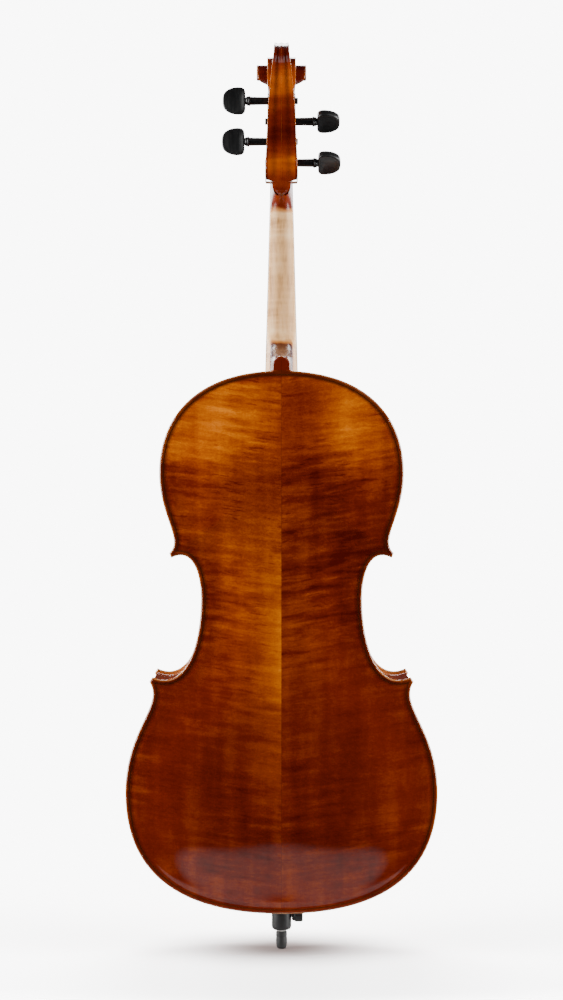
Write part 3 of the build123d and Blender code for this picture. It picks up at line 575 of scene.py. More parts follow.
def maple_back():
    m = Mat("varnished_flamed_maple_back")
    u = m.abs(m.x)
    side = m.math("SIGN", m.x)
    p = m.sub(m.z, m.mul(u, 0.13))
    fl = flame(m, u, p, m.mul(side, 3.7))
    left = m.range(m.x, -0.0004, 0.0004)
    bands = m.noise(m.vec(m.mul(m.x, 34.0), m.mul(m.z, 3.0), 6.0), 1.0, 2.0, 0.5)
    streak = m.noise(m.vec(m.mul(u, 38.0), m.mul(p, 300.0), m.add(m.mul(side, 2.3), 11.0)), 1.0, 2.0, 0.5,
                     0.3)
    streak = m.range(streak, 0.56, 0.70, 0.0, -1.0)
    where = m.range(m.noise(m.vec(m.mul(m.x, 22.0), m.mul(m.z, 11.0), 3.0), 1.0, 1.0), 0.42, 0.62)
    tone = m.add(
        0.25,
        m.range(m.z, 0.42, 0.80, 0.0, 0.07),
        m.mul(m.blob(0.090, 0.745, 0.075, 0.085), 0.42),
        m.mul(m.blob(-0.100, 0.765, 0.045, 0.070), 0.42),
        m.mul(m.mul(m.blob(0.004, 0.440, 0.028, 0.150), left), 0.42),
        m.mul(m.blob(0.055, 0.520, 0.060, 0.120), 0.14),
        m.mul(m.blob(-0.016, 0.470, 0.030, 0.130), 0.14),
        m.mul(m.blob(-0.100, 0.250, 0.070, 0.120), -0.05),
        m.mul(m.blob(-0.030, 0.740, 0.036, 0.110), -0.12),
        m.mul(m.blob(0.020, 0.655, 0.150, 0.028), -0.13),
        m.mul(m.blob(-0.085, 0.560, 0.065, 0.120), -0.08),
        m.mul(m.blob(-0.060, 0.280, 0.080, 0.130), -0.02),
        m.mul(m.blob(0.120, 0.230, 0.080, 0.120), -0.05),
        m.mul(m.sub(bands, 0.5), 0.42),
        m.mul(mottle(m, 9.0, 2.0), 0.22),
        m.mul(mottle(m, 42.0, 5.0), 0.20),
        m.mul(fl, m.range(m.z, 0.30, 0.62, 0.50, 0.98)),
        m.mul(m.mul(streak, where), m.range(m.z, 0.30, 0.62, 0.06, 0.18)),
        m.mul(fleck(m), m.range(m.z, 0.30, 0.62, 0.26, 0.40)),
        m.mul(pores(m, m.z, m.x), 0.10),
    )
    col = m.ramp(tone, VARNISH)
    rim = m.attr("rim")
    deep = m.attr("deep")
    rim_with_noise = m.add(rim, mottle(m, 60.0))
    gold = m.ramp(m.add(0.5, mottle(m, 70.0)), [(0.3, (0.20, 0.045, 0.008)), (0.8, (0.46, 0.17, 0.045))])
    dark = m.mix(m.mul(m.range(m.abs(m.sub(deep, 4.6)), 1.9, 5.5, 1.0, 0.0),
                       m.range(m.z, 0.66, 0.80, 0.34, 0.80)), col, (0.060, 0.0060, 0.001))
    col = m.mix(m.range(rim_with_noise, 1.3, 2.7, 0.9, 0.0), dark, gold)
    button = m.range(m.z, 0.8165, 0.8185)
    col = m.mix(m.mul(button, m.range(rim_with_noise, 0.5, 1.4, 0.1, 1.0)), col, (0.115, 0.0075, 0.001))
    seam = m.range(u, 0.00012, 0.0006, 0.40, 0.0)
    col = m.mix(seam, col, (0.05, 0.004, 0.001))
    m.set(Base_Color=col, Roughness=0.34, Coat_Weight=1.0, Coat_Roughness=0.07, Coat_IOR=1.5,
          Specular_IOR_Level=0.0)
    m.bump(m.add(m.mul(m.noise(m.obj, 30.0, 2.0), 0.6), m.mul(m.noise(m.obj, 900.0, 2.0), 0.05)), 0.07,
           0.0012)
    return m.m


def maple_rib():
    m = Mat("varnished_flamed_maple_rib")
    run = m.mul(m.attr("run"), 0.001)
    fl = flame(m, m.y, run, 7.7)
    tone = m.add(0.34, m.mul(mottle(m, 14.0, 1.0), 0.35), m.mul(fl, 0.55),
               m.mul(pores(m, run, m.y), 0.08))
    m.set(Base_Color=m.ramp(tone, VARNISH), Roughness=0.36, Coat_Weight=1.0, Coat_Roughness=0.08,
          Specular_IOR_Level=0.0)
    m.bump(m.noise(m.obj, 40.0, 2.0), 0.06, 0.001)
    return m.m


def spruce_top():
    m = Mat("varnished_spruce_top")
    u = m.abs(m.x)
    warp = m.mul(mottle(m, 4.0, 3.0), 0.006)
    g = m.mul(m.add(u, warp), 620.0)
    lines = m.noise(m.vec(g, m.mul(m.z, 1.2), 0.0), 1.0, 2.0, 0.55)
    late = m.range(lines, 0.48, 0.66)
    tone = m.add(0.52, m.mul(late, -0.20), m.mul(mottle(m, 7.0, 8.0), 0.35),
               m.mul(m.blob(0.0, 0.42, 0.09, 0.20), 0.16),
               m.mul(m.noise(m.vec(m.mul(m.x, 60.0), m.mul(m.z, 400.0), 2.0), 1.0, 2.0), 0.08),
               m.mul(pores(m, m.z, m.x, 3.0), 0.08))
    col = m.ramp(tone, VARNISH)
    rim = m.attr("rim")
    deep = m.attr("deep")
    dark = m.mix(m.range(m.abs(m.sub(deep, 7.6)), 1.0, 5.5, 0.55, 0.0), col, (0.06, 0.004, 0.001))
    rim_with_noise = m.add(rim, m.mul(mottle(m, 60.0), 1.5))
    col = m.mix(m.range(rim_with_noise, 2.4, 3.9, 1.0, 0.0), dark, (0.52, 0.17, 0.03))
    m.set(Base_Color=col, Roughness=0.36, Coat_Weight=1.0, Coat_Roughness=0.08)
    m.bump(m.add(m.mul(late, 0.5), m.mul(m.noise(m.obj, 30.0, 2.0), 1.2)), 0.10, 0.0008)
    return m.m


def dark_inlay():
    m = Mat("purfling_strip")
    deep = m.attr("deep")
    mid = m.range(m.abs(m.sub(deep, 5.7)), 0.15, 0.35, 1.0, 0.0)
    col = m.mix(m.mul(mid, 0.75), (0.012, 0.004, 0.002), (0.16, 0.028, 0.004))
    col = m.mix(m.range(m.noise(m.obj, 300.0, 2.0), 0.3, 0.7, 0.0, 0.3), col, (0.03, 0.006, 0.002))
    m.set(Base_Color=col, Roughness=0.35, Coat_Weight=1.0, Coat_Roughness=0.08, Specular_IOR_Level=0.0)
    return m.m


def ebony(name="ebony_polished", rough=0.34, tint=(0.006, 0.0052, 0.0046), light=(0.016, 0.013, 0.011)):
    m = Mat(name)
    g = m.noise(m.vec(m.mul(m.x, 500.0), m.mul(m.y, 500.0), m.mul(m.z, 24.0)), 1.0, 3.0, 0.6)
    col = m.mix(m.range(g, 0.45, 0.75), tint, light)
    m.set(Base_Color=col, Roughness=m.range(g, 0.3, 0.7, rough - 0.05, rough + 0.08))
    m.bump(m.noise(m.obj, 60.0, 1.0), 0.02, 0.0003)
    return m.m


def plain_black(name, rough, base=(0.011, 0.011, 0.012), scale=220.0):
    m = Mat(name)
    g = m.noise(m.obj, scale, 3.0, 0.6)
    m.set(Base_Color=m.mix(m.range(g, 0.35, 0.7), base, tuple(c * 1.8 for c in base)),
          Roughness=m.range(g, 0.3, 0.7, rough - 0.05, rough + 0.07))
    m.bump(m.noise(m.obj, 80.0, 1.0), 0.02, 0.0002)
    return m.m


def metal(name, col, rough):
    m = Mat(name)
    g = m.noise(m.obj, 300.0, 2.0, 0.5)
    m.set(Base_Color=m.mix(m.range(g, 0.3, 0.7), col, tuple(c * 0.8 for c in col)), Metallic=1.0,
          Roughness=m.range(g, 0.3, 0.7, rough * 0.8, rough * 1.25))
    return m.m


def bare_wood(name, light, dark, along="z", gloss=0.45):
    m = Mat(name)
    ax = {"x": (24.0, 500.0, 500.0), "y": (500.0, 24.0, 500.0), "z": (500.0, 500.0, 24.0)}[along]
    g = m.noise(m.scale(m.obj, ax), 1.0, 3.0, 0.6)
    tone = m.add(m.range(g, 0.25, 0.75), m.mul(mottle(m, 25.0), 0.5))
    m.set(Base_Color=m.mix(tone, dark, light), Roughness=gloss)
    m.bump(g, 0.08, 0.0003)
    return m.m


def neck_wood():
    """Bare oiled maple between varnished heel and head."""
    m = Mat("neck_maple_bare_and_varnished")
    fl = flame(m, m.x, m.z, 2.2, 0.8)
    soft = m.noise(m.vec(m.mul(m.x, 120.0), m.mul(m.y, 120.0), m.mul(m.z, 9.0)), 1.0, 3.0, 0.6)
    tone = m.add(0.45, m.mul(m.sub(soft, 0.5), 1.1), m.mul(fl, 1.2), m.mul(pores(m, m.z, m.x), 0.25))
    bare = m.ramp(tone, [(0.0, (0.34, 0.150, 0.045)), (0.45, (0.76, 0.430, 0.180)),
                         (1.0, (0.95, 0.640, 0.330))])
    vt = m.add(m.range(m.z, 0.9, 1.0, 0.02, 0.24), m.mul(mottle(m, 30.0), 0.3), m.mul(fl, 0.3))
    varnish = m.ramp(vt, VARNISH)
    wob = m.mul(mottle(m, 30.0, 3.0), 0.012)
    zz = m.add(m.z, wob)
    low = m.range(zz, 0.853, 0.872, 1.0, 0.0)
    high = m.range(zz, 1.044, 1.064)
    middle = m.range(m.abs(m.x), 0.0135, 0.0185, 1.0, 0.0)
    cover = m.math("MAXIMUM", m.mul(low, middle), high)
    honey = m.mix(m.range(cover, 0.03, 0.40), bare, m.mix(0.75, bare, (0.46, 0.13, 0.008)))
    col = m.mix(m.range(cover, 0.30, 0.75), honey, varnish)
    m.set(Base_Color=col, Roughness=m.range(cover, 0.2, 0.8, 0.46, 0.34),
          Coat_Weight=m.range(cover, 0.3, 0.8, 0.0, 0.35), Coat_Roughness=0.26, Specular_IOR_Level=0.2)
    m.bump(m.noise(m.obj, 40.0, 1.0), 0.02, 0.0004)
    return m.m


def level(m, height, spread):
    """A soft band round one height, 1 in its middle."""
    return m.math("EXPONENT", m.mul(m.math("POWER", m.div(m.sub(m.z, height), spread), 2.0), -1.0))


def head_wood():
    m = Mat("varnished_maple_head")
    fl = flame(m, m.x, m.z, 5.1, 0.9)
    tone = m.add(0.31, m.mul(mottle(m, 26.0, 4.0), 0.6), m.mul(fl, 0.6),
               m.range(m.abs(m.x), 0.0185, 0.0215, 0.0, -0.34),
               m.range(m.z, 1.235, 1.275, 0.0, -0.28),
               m.mul(level(m, 1.222, 0.022), 0.30),
               m.mul(level(m, 1.113, 0.016), 0.28),
               m.mul(level(m, 1.158, 0.018), -0.30),
               m.mul(pores(m, m.z, m.x), 0.10))
    col = m.ramp(tone, VARNISH)
    rim = m.attr("rim")
    rim_with_noise = m.add(rim, m.mul(mottle(m, 90.0), 0.8))
    # gold on worn edges, and along the spine a painted highlight line where the fluted back gives a low rim
    # value
    col = m.mix(m.range(rim_with_noise, 0.4, 1.3, 0.6, 0.0), col, (0.52, 0.15, 0.018))
    m.set(Base_Color=col, Roughness=0.34, Coat_Weight=1.0, Coat_Roughness=0.15, Specular_IOR_Level=0.0)
    m.bump(m.noise(m.obj, 60.0, 2.0), 0.05, 0.0008)
    return m.m


def string_wire():
    """Wound steel with coloured silk at both ends."""
    m = Mat("wound_string")
    turn = m.n("ShaderNodeTexWave", {"wave_type": "BANDS", "bands_direction": "Z"},
               {"Vector": m.obj, "Scale": 900.0}).outputs[0]
    silk = m.math("MAXIMUM", m.range(m.z, 0.330, 0.331, 1.0, 0.0), m.range(m.z, 1.084, 1.086))
    steel = m.mix(turn, (0.42, 0.41, 0.40), (0.62, 0.61, 0.60))
    red = m.mix(m.noise(m.obj, 2500.0), (0.08, 0.005, 0.01), (0.22, 0.02, 0.03))
    m.set(Base_Color=m.mix(silk, steel, red), Metallic=m.sub(1.0, silk),
          Roughness=m.range(silk, 0, 1, 0.3, 0.7))
    m.bump(turn, 0.15, 0.0001)
    return m.m


MAPLE = maple_back()
RIB = maple_rib()
SPRUCE = spruce_top()
INLAY = dark_inlay()
EBONY = ebony()
BLACK = plain_black("satin_black_wood", 0.36, (0.004, 0.004, 0.0042))
PEG = ebony("peg_ebony", 0.36, (0.0060, 0.0060, 0.0063), (0.0115, 0.0113, 0.0113))
TAIL = plain_black("tailpiece_black", 0.30, (0.006, 0.006, 0.0065))
RUBBER = plain_black("black_rubber", 0.55, (0.006, 0.006, 0.006))
NICKEL = metal("nickel_plate", (0.72, 0.71, 0.69), 0.18)
STEEL = metal("plain_steel", (0.42, 0.42, 0.43), 0.30)
DARK_STEEL = metal("blackened_steel", (0.10, 0.10, 0.11), 0.34)
NECK = neck_wood()
HEAD = head_wood()
WIRE = string_wire()
BRIDGE = bare_wood("bridge_maple_bare", (0.62, 0.42, 0.22), (0.42, 0.24, 0.10), "z")
SHOULDER = bare_wood("shoulder_bare_maple", (0.66, 0.52, 0.38), (0.50, 0.36, 0.24), "x", 0.5)
INSIDE = bare_wood("bare_spruce_inside", (0.60, 0.43, 0.25), (0.44, 0.28, 0.14), "z", 0.7)
INSIDE_MAPLE = bare_wood("bare_maple_inside", (0.66, 0.50, 0.32), (0.50, 0.34, 0.18), "z", 0.7)
CORD = plain_black("tail_cord", 0.5, (0.012, 0.012, 0.013), 900.0)


# ---------------------------------------------------------------- body

BACK_RIM = button_rim()
build_plate(1, "back", BACK_RIM, MAPLE, INLAY)
build_plate(-1, "top", RIM, SPRUCE, INLAY, f_hole())


def inner_skin(side, name, mat):
    """The bare inside of a plate."""
    edge = ring(RIM, 4.9)
    gx, gz = np.meshgrid(np.arange(-215, 216, 9.0), np.arange(4, 754, 9.0))
    g = np.c_[gx.ravel(), gz.ravel()]
    g = g[within(FULL, g)]
    g = g[distance(RIM, np.c_[np.abs(g[:, 0]), g[:, 1]]) > 9]
    if side < 0:
        u = np.c_[np.abs(g[:, 0]), g[:, 1]]
        g = g[distance(np.vstack(f_hole()), u) > 13]
    loop = np.vstack([edge, (edge * (-1, 1))[::-1][1:-1]])
    pts = np.vstack([loop, g])
    ring_edges = [(i, (i + 1) % len(loop)) for i in range(len(loop))]
    res = delaunay_2d_cdt([Vector(p) for p in pts], ring_edges, [], 1, 1e-5)
    co = np.array([tuple(v) for v in res[0]])
    faces = res[2]
    if side < 0:
        holes = f_hole()
        mid = np.array([co[list(f)].mean(0) for f in faces])
        mid[:, 0] = np.abs(mid[:, 0])
        bad = within(holes[0], mid) | (distance(np.vstack([holes[0], holes[0][:1]]), mid) < 9)
        for eye in holes[1:]:
            bad |= np.hypot(*(mid - eye.mean(0)).T) < 14
        faces = [f for f, b in zip(faces, bad) if not b]
    h, dn, _ = arch(co)
    y = side * (HALF + h - 4.4)
    y = np.where(dn < 12, side * (HALF + 0.3), y)
    make(name, np.c_[co[:, 0], y, co[:, 1] + BOTTOM], faces, mat, sharp=180)


RIB_FIGURE = {"upper": 0, "middle": 900, "lower": 1700}      # where each rib's figure starts, mm


def build_ribs():
    fine = outline(1.4)
    line = ring(fine, 3.0)
    cut1 = int(np.argmax(line[:, 0] * (line[:, 1] > 480) * (line[:, 1] < 515)))
    cut2 = int(np.argmax(line[:, 0] * (line[:, 1] > 315) * (line[:, 1] < 335)))
    spans = {"upper": line[:cut1 + 1], "middle": line[cut1:cut2 + 1], "lower": line[cut2:]}
    ys = np.array([-HALF, -HALF + 0.6, -40, -20, 0, 20, 40, HALF - 0.6, HALF])
    for sign, side in ((1, "treble"), (-1, "bass")):
        for name, span in spans.items():
            run = lengths(span) + RIB_FIGURE[name] + 40 * sign
            verts = []
            for x, z in span:
                for y in ys:
                    verts.append((sign * x, y, z + BOTTOM))
            runs = np.repeat(run, len(ys))
            faces = grid_faces(len(span), len(ys), flip=sign < 0)
            node = "rib_%s_%s" % (name, side)
            make(node + "_skin", verts, faces, RIB, attrs={"run": runs}, old=(node,), sharp=50)


inner_skin(1, "back_inside", INSIDE_MAPLE)
inner_skin(-1, "top_inside", INSIDE)
build_ribs()


# ---------------------------------------------------------------- neck and head


def neck_point(x, s, b):
    """Neck frame to world: s up along the neck from the nut, b towards the back."""
    return (x, NUT_Y + s * math.sin(SLOPE) + b * math.cos(SLOPE),
            NUT_Z + s * math.cos(SLOPE) - b * math.sin(SLOPE))


def glue_y(z):
    return NUT_Y - (NUT_Z - z) * math.tan(SLOPE)


def build_neck():
    """Shaft and heel as one skin of rings from the glued front to the back line."""
    rings = []
    for s in np.r_[np.arange(2, -60, -2.0), np.linspace(-60, -212, 40)]:
        front = neck_point(0, s, 0.05)
        back = neck_point(0, s, lut([(-60, 17), (-48, 17.3), (-40, 18.6), (-33, 21.5), (-27, 25.8),
                                     (-22, 30.5), (-16, 35), (2, 38)], s))
        half = 15.75 + 7.25 * -s / 280
        nose = lut([(-60, half), (-40, half), (-26, 12.5), (-16, 11), (2, 10)], s)
        rings.append((front[1:], back[1:], half, nose, 2.0))
    line = catmull([(-61.5, 892), (-57.8, 881), (-50.5, 867), (-34, 855), (-10, 846.5), (25, 840.5),
                    (59, 837.2)], 4)
    for n, (y, z) in enumerate(line[2:]):
        t = n / (len(line) - 3)
        zf = 878 - 44 * t
        half = 15.75 + 7.25 * (NUT_Z - zf) / 280
        nose = half + (12.8 - half) * smoothstep(t * 1.15)
        rings.append(((glue_y(zf), zf), (y, z), half, nose, 2.0 + 2.2 * t ** 2))
    for z in (833, 828, 820, 811):
        rings.append(((glue_y(z - 3), z - 3), (59.0, z), 23.0, 12.8, 4.2))
    verts = []
    cols = 40
    for front, back, half, nose, power in rings:
        for k in range(cols + 1):
            a = math.pi * k / cols
            v = abs(math.sin(a)) ** (2 / power)
            w = half + (nose - half) * v ** 1.4
            x = w * math.copysign(abs(math.cos(a)) ** (2 / power), math.cos(a))
            verts.append((x, front[0] + (back[0] - front[0]) * v, front[1] + (back[1] - front[1]) * v))
    faces = grid_faces(len(rings), cols + 1, ring=True)
    make("neck_shaft_and_heel", verts, faces, NECK, sharp=60, old=("neck",))


EYE_S, EYE_B = 149.0, 18.0
OUTER = [(-60, 57.7), (-45, 49.5), (-27, 41.6), (0, 40.3), (23, 43.0), (41, 43.6), (62, 43.0), (90, 43.0)]
WIDTHS = [(-60, 19.3), (-27, 16.6), (0, 14.5), (41, 11.2), (90, 9.9), (180, 12), (270, 17), (300, 19.0),
          (330, 20.0),
          (450, 20.3), (600, 20.8), (630, 21.2), (650, 25), (668, 30.2), (690, 33.0), (720, 34.4),
          (765, 35.0), (810, 35.2)]


def lut(table, v):
    return float(np.interp(v, [t[0] for t in table], [t[1] for t in table]))


def turn_r(a):
    if a < 90:
        return lut(OUTER, a)
    return 43.0 * 0.52 ** ((a - 90) / 360)


def polar(a, r):
    return EYE_S + r * math.sin(math.radians(a)), EYE_B + r * math.cos(math.radians(a))


def build_volute(sign):
    """One side of the scroll: a scooped ramp that winds in to the eye."""
    verts, rim = [], []
    angles = np.arange(-60, 811, 4.0)
    scoop = np.linspace(0, 1, 11)
    for a in angles:
        out = turn_r(a)
        inner = max(turn_r(a + 360), 9.6)
        w = lut(WIDTHS, a)
        base = lut(WIDTHS, a - 360) - 1.2 if a >= 300 else w - 0.8
        base = min(base, w - 0.8)
        row = [(out + 0.15, base, 4), (out + 0.05, base + (w - 0.8 - base) * 0.5, 3), (out, w - 0.8, 0.7),
               (out - 0.25, w - 0.25, 0),
               (out - 0.8, w, 0)]
        deep = 2.1 * min(1.0, (out - inner) / 9)
        for t in scoop[1:]:
            r = out - 0.8 + (inner - 0.4 - out + 0.8) * t
            row.append((r, w - deep * math.sin(math.pi * min(t * 1.05, 1) * 0.78) - 0.9 * t * t, 0.8 + 4 * t))
        for r, x, e in row:
            s, b = polar(a, r)
            verts.append(neck_point(sign * x, s, b))
            rim.append(e)
    cols = len(scoop) + 4
    faces = grid_faces(len(angles), cols, flip=sign < 0)
    return verts, faces, rim


SILHOUETTE = [(-24, 27.5), (-22.6, 31.0), (-19.5, 35.6), (-14, 39.6), (-7, 41.8), (0, 42.7), (14, 43.2),
              (36, 43.6),
              (60, 44.4), (80, 46.0), (100, 48.9)]
WALLS = [(-24, 0.3), (-23.7, 3.2), (-22.7, 6.0), (-20.4, 8.8), (-16.4, 11.2), (-11, 12.6), (-6, 13.0),
         (-2.6, 13.1), (-2.2, 13.3), (-2.0, 22.4),
         (3, 22.9), (12, 23), (57, 20.8), (80, 19.9), (100, 19.3)]


def band_line():
    pts = SILHOUETTE + [polar(a, turn_r(a)) for a in range(-40, 291, 10)]
    return catmull(pts, 1.6)


def build_band():
    """Fluted back of the pegbox and scroll with its central spine."""
    line = band_line()
    t = tangents(line)
    nrm = np.c_[-t[:, 1], t[:, 0]]
    cols = 27
    verts, rim = [], []
    us = np.sin(np.linspace(-1, 1, cols) * math.pi / 2)
    for (s, b), n in zip(line, nrm):
        a = math.degrees(math.atan2(s - EYE_S, b - EYE_B))
        up = s > 100 or b < 10
        if up:
            ang = a if a > -100 else a + 360
            if b < 17.9 and s < EYE_S + 1:
                ang = a % 360
            w = lut(WIDTHS, ang)
        else:
            w = lut(WALLS, s)
        tongue = 1 - smoothstep((s + 8) / 16) if s < 10 else 0.0
        flute = (1 - tongue) * min(2.6, 0.17 * w) * (1.0 if s < 105 else 0.95)
        for u in us:
            q = abs(u)
            drop = flute * math.sin(math.pi * min(q, 0.93) / 0.93) ** 1.3
            drop += 0.8 * max(0.0, (q - 0.955) / 0.045) ** 2
            drop += tongue * (1.8 * q ** 2 + 1.4 * q ** 6)
            verts.append(neck_point(u * w, s - n[0] * drop, b - n[1] * drop))
            edge = (1 - q) * w
            # near the spine the rim value stays low (q * w + 0.9), so the head's gold edge colour paints a
            # highlight line down the spine
            rim.append(min(edge, q * w + 0.9) if not tongue > 0.3 else edge + 1.0)
    faces = grid_faces(len(line), cols)
    return verts, faces, rim


def cheek_rows():
    """Pegbox side: (front s, b), (back s, b), half widths."""
    rows = []
    front = [(-6.6, 0.6), (9, 0.4), (60, 3), (95, 10), (111, 19), (119, 25), (123.6, 32.7)]
    fs = catmull(front, 1.5)
    line = catmull(SILHOUETTE + [polar(-60, 57.7)], 1.0)
    line = line[line[:, 0] > -2.0]
    for k in np.linspace(0, 1, 110):
        f = fs[int(k * (len(fs) - 1))]
        b = line[int(min(k * 1.04, 1) * (len(line) - 1))]
        wf = lut(WALLS, max(f[0], -1.9)) if f[0] < 95 else 19.3
        rows.append((f, b, wf, lut(WALLS, max(b[0], -1.9))))
    return rows


def build_cheek(sign):
    verts, rim = [], []
    cols = 15
    rows = cheek_rows()
    for f, b, wf, wb in rows:
        for j in range(cols):
            t = j / (cols - 1)
            t = 0.5 - 0.5 * math.cos(math.pi * t)
            p = np.array(f) * (1 - t) + np.array(b) * t
            w = wf * (1 - t) + wb * t
            w -= 0.5 * max(0, 1 - t / 0.03) + 0.6 * max(0, (t - 0.975) / 0.025)
            w += 0.6 * math.sin(math.pi * t)
            verts.append(neck_point(sign * w, *p))
            rim.append(min(t, 1 - t) * 43)
    return verts, grid_faces(len(rows), cols, flip=sign < 0), rim


def build_pegbox_front():
    """Front edges of the cheeks, the well for the strings and the throat."""
    front = catmull([(9, 0.4), (60, 3), (95, 10), (104, 14.6)], 2.0)
    verts, rim = [], []
    for s, b in front:
        w = lut(WALLS, s) - 0.5
        room = lut([(10, 12.2), (60, 10.6), (131, 7.8)], s)
        deep = lut([(11, 33), (60, 35), (100, 39), (126, 43)], s)
        half = [(w, b, 0), (w - 0.6, b - 0.35, 0.2), (room + 0.8, b - 0.35, 0.4), (room, b + 0.6, 0.5),
                (room - 0.3, deep - 4, 5),
                (room - 3.5, deep, 6)]
        for x, bb, e in half + [(-x, bb, e) for x, bb, e in half[::-1]]:
            verts.append(neck_point(x, s, bb))
            rim.append(e)
    cols = 12
    faces = grid_faces(len(front), cols, flip=False)
    n = len(verts)
    throat = [(104, 14.6), (107, 16.4), (111, 19), (116, 22.5), (121, 27), (125, 31)]
    for s, b in throat:
        w = 19.0 - max(0, s - 118) * 0.4
        for x in np.linspace(w, -w, 9):
            verts.append(neck_point(x, s, b))
            rim.append(2.0)
    faces += grid_faces(len(throat), 9, start=n, flip=False)
    n = len(verts)
    for s, b in ((104, 14.7), (112, 23), (124, 30), (128, 43)):
        for x in np.linspace(11, -11, 5):
            verts.append(neck_point(x, s, b))
            rim.append(5.0)
    faces += grid_faces(4, 5, start=n, flip=True)
    n = len(verts)
    for s, b in ((10.5, -0.4), (10.8, 30), (13, 34)):
        for x in np.linspace(12.4, -12.4, 5):
            verts.append(neck_point(x, s, b))
            rim.append(5.0)
    faces += grid_faces(3, 5, start=n, flip=False)
    return verts, faces, rim


def build_tongue_sides():
    """Walls of the chin, from its rounded rim down into the neck."""
    line = catmull(SILHOUETTE, 1.0)
    line = line[line[:, 0] < -1.5]
    rows = []
    for s, b in line:
        w = lut(WALLS, min(s, -2.7))
        tongue = 1 - smoothstep((s + 8) / 16)
        top = b - tongue * 3.2 - 0.1
        for k in range(7):
            t = k / 6
            rows.append((s + 1.5 * t * t, top - t * 14, w + 0.5 * math.sin(math.pi * t) - 1.2 * t * t))
    return rows, [2.5] * len(rows), len(line)


def build_shoulder(sign):
    """Bare underside of the pegbox shoulder, sloping down to the neck."""
    verts = []
    for k in range(9):
        t = k / 8
        b = 42.2 - 41.5 * t
        s = -2.0 - 4.6 * t ** 0.8
        for j in range(7):
            q = j / 6
            x = 22.6 - 0.4 * t - (12.5 - 0.4 * t) * q
            verts.append(neck_point(sign * x, s - 0.6 * q, b))
    return verts, grid_faces(9, 7, flip=sign > 0)


def head_piece(name, verts, faces, rim, sharp=40):
    make(name, verts, faces, HEAD, attrs={"rim": rim}, sharp=sharp, old=("neck",))


def build_head():
    for sign, side in ((1, "treble"), (-1, "bass")):
        head_piece("scroll_volute_" + side, *build_volute(sign))
        head_piece("pegbox_cheek_" + side, *build_cheek(sign))
        rows, e, n = build_tongue_sides()
        v = [neck_point(sign * x, s, b) for s, b, x in rows]
        head_piece("chin_side_" + side, v, grid_faces(n, 7, flip=sign > 0), e, 60)
        v, f = build_shoulder(sign)
        make("pegbox_shoulder_" + side, v, f, SHOULDER, sharp=60, old=("neck",))
        prof = [(26, 10.6), (33.6, 10.4), (35.2, 9.6), (35.3, 8.6), (34.9, 6.0), (35.0, 0.01)]
        verts = np.array([neck_point(sign * a, EYE_S + r * math.sin(t), EYE_B + r * math.cos(t))
                          for a, r in rounded(prof, 0.7) for t in np.linspace(0, 2 * math.pi, 40,
                                                                              endpoint=False)])
        rim = [0.3 if abs(a - 35) < 0.6 and r > 8.2 else 3.0 for a,
               r in rounded(prof, 0.7) for t in range(40)]
        head_piece("scroll_eye_" + side, verts, grid_faces(len(verts) // 40, 40, ring=True, flip=sign > 0),
                   rim, 50)
    head_piece("head_fluted_back", *build_band())
    head_piece("pegbox_front", *build_pegbox_front())


build_neck()
build_head()


# ---------------------------------------------------------------- pegs

PEGS = {"c": (23.4, 24.0, -1, 45.4, 52.0), "a": (53.3, 25.0, 1, 46.0, 0.0),
        "g": (81.5, 27.5, -1, 43.9, 56.0), "d": (110.3, 32.0, 1, 44.4, 0.0)}


def peg_outline():
    """Closed outline of the thumb piece: along the shaft, across it."""
    upper = catmull([(-0.2, 4.6), (-0.4, 9.0), (-0.1, 13.2), (1.3, 16.4), (4.2, 18.5), (9.0, 19.2),
                     (14.0, 18.9), (19.0, 17.9),
                     (24.0, 15.8), (28.0, 12.8), (30.6, 9.0), (31.7, 4.6), (32.0, 0.0)], 1.0)
    lower = upper[::-1][1:] * (1, -1)
    return resample(np.vstack([upper, lower, upper[:1]]), 1.4)[:-1]


def peg_head_mesh(start):
    line = peg_outline()
    mid = np.array((12.0, 0.0))
    thick = [(0.0, 3.4), (0.2, 3.45), (0.4, 3.75), (0.58, 4.3), (0.72, 4.95), (0.83, 5.5), (0.9, 5.7),
             (0.95, 5.4), (0.985, 4.5),
             (1.0, 2.9)]
    verts = []
    rows = [(q, t) for q, t in thick[1:]] + [(1.005, 0.0)] + [(q, -t) for q, t in thick[1:][::-1]]
    for q, t in rows:
        p = mid + (line - mid) * q
        slim = 1.0 - 0.06 * smoothstep(p[:, 0] / 32)
        verts += list(np.c_[p[:, 0] + start, p[:, 1], t * slim])
    n = len(line)
    faces = grid_faces(len(rows), n, ring=True)
    verts += [(start + 12, 0, 3.4), (start + 12, 0, -3.4)]
    a, b = len(verts) - 2, len(verts) - 1
    last = (len(rows) - 1) * n
    faces += [(a, i, (i + 1) % n)[::-1] for i in range(n)]
    faces += [(b, last + i, last + (i + 1) % n) for i in range(n)]
    return np.array(verts), faces


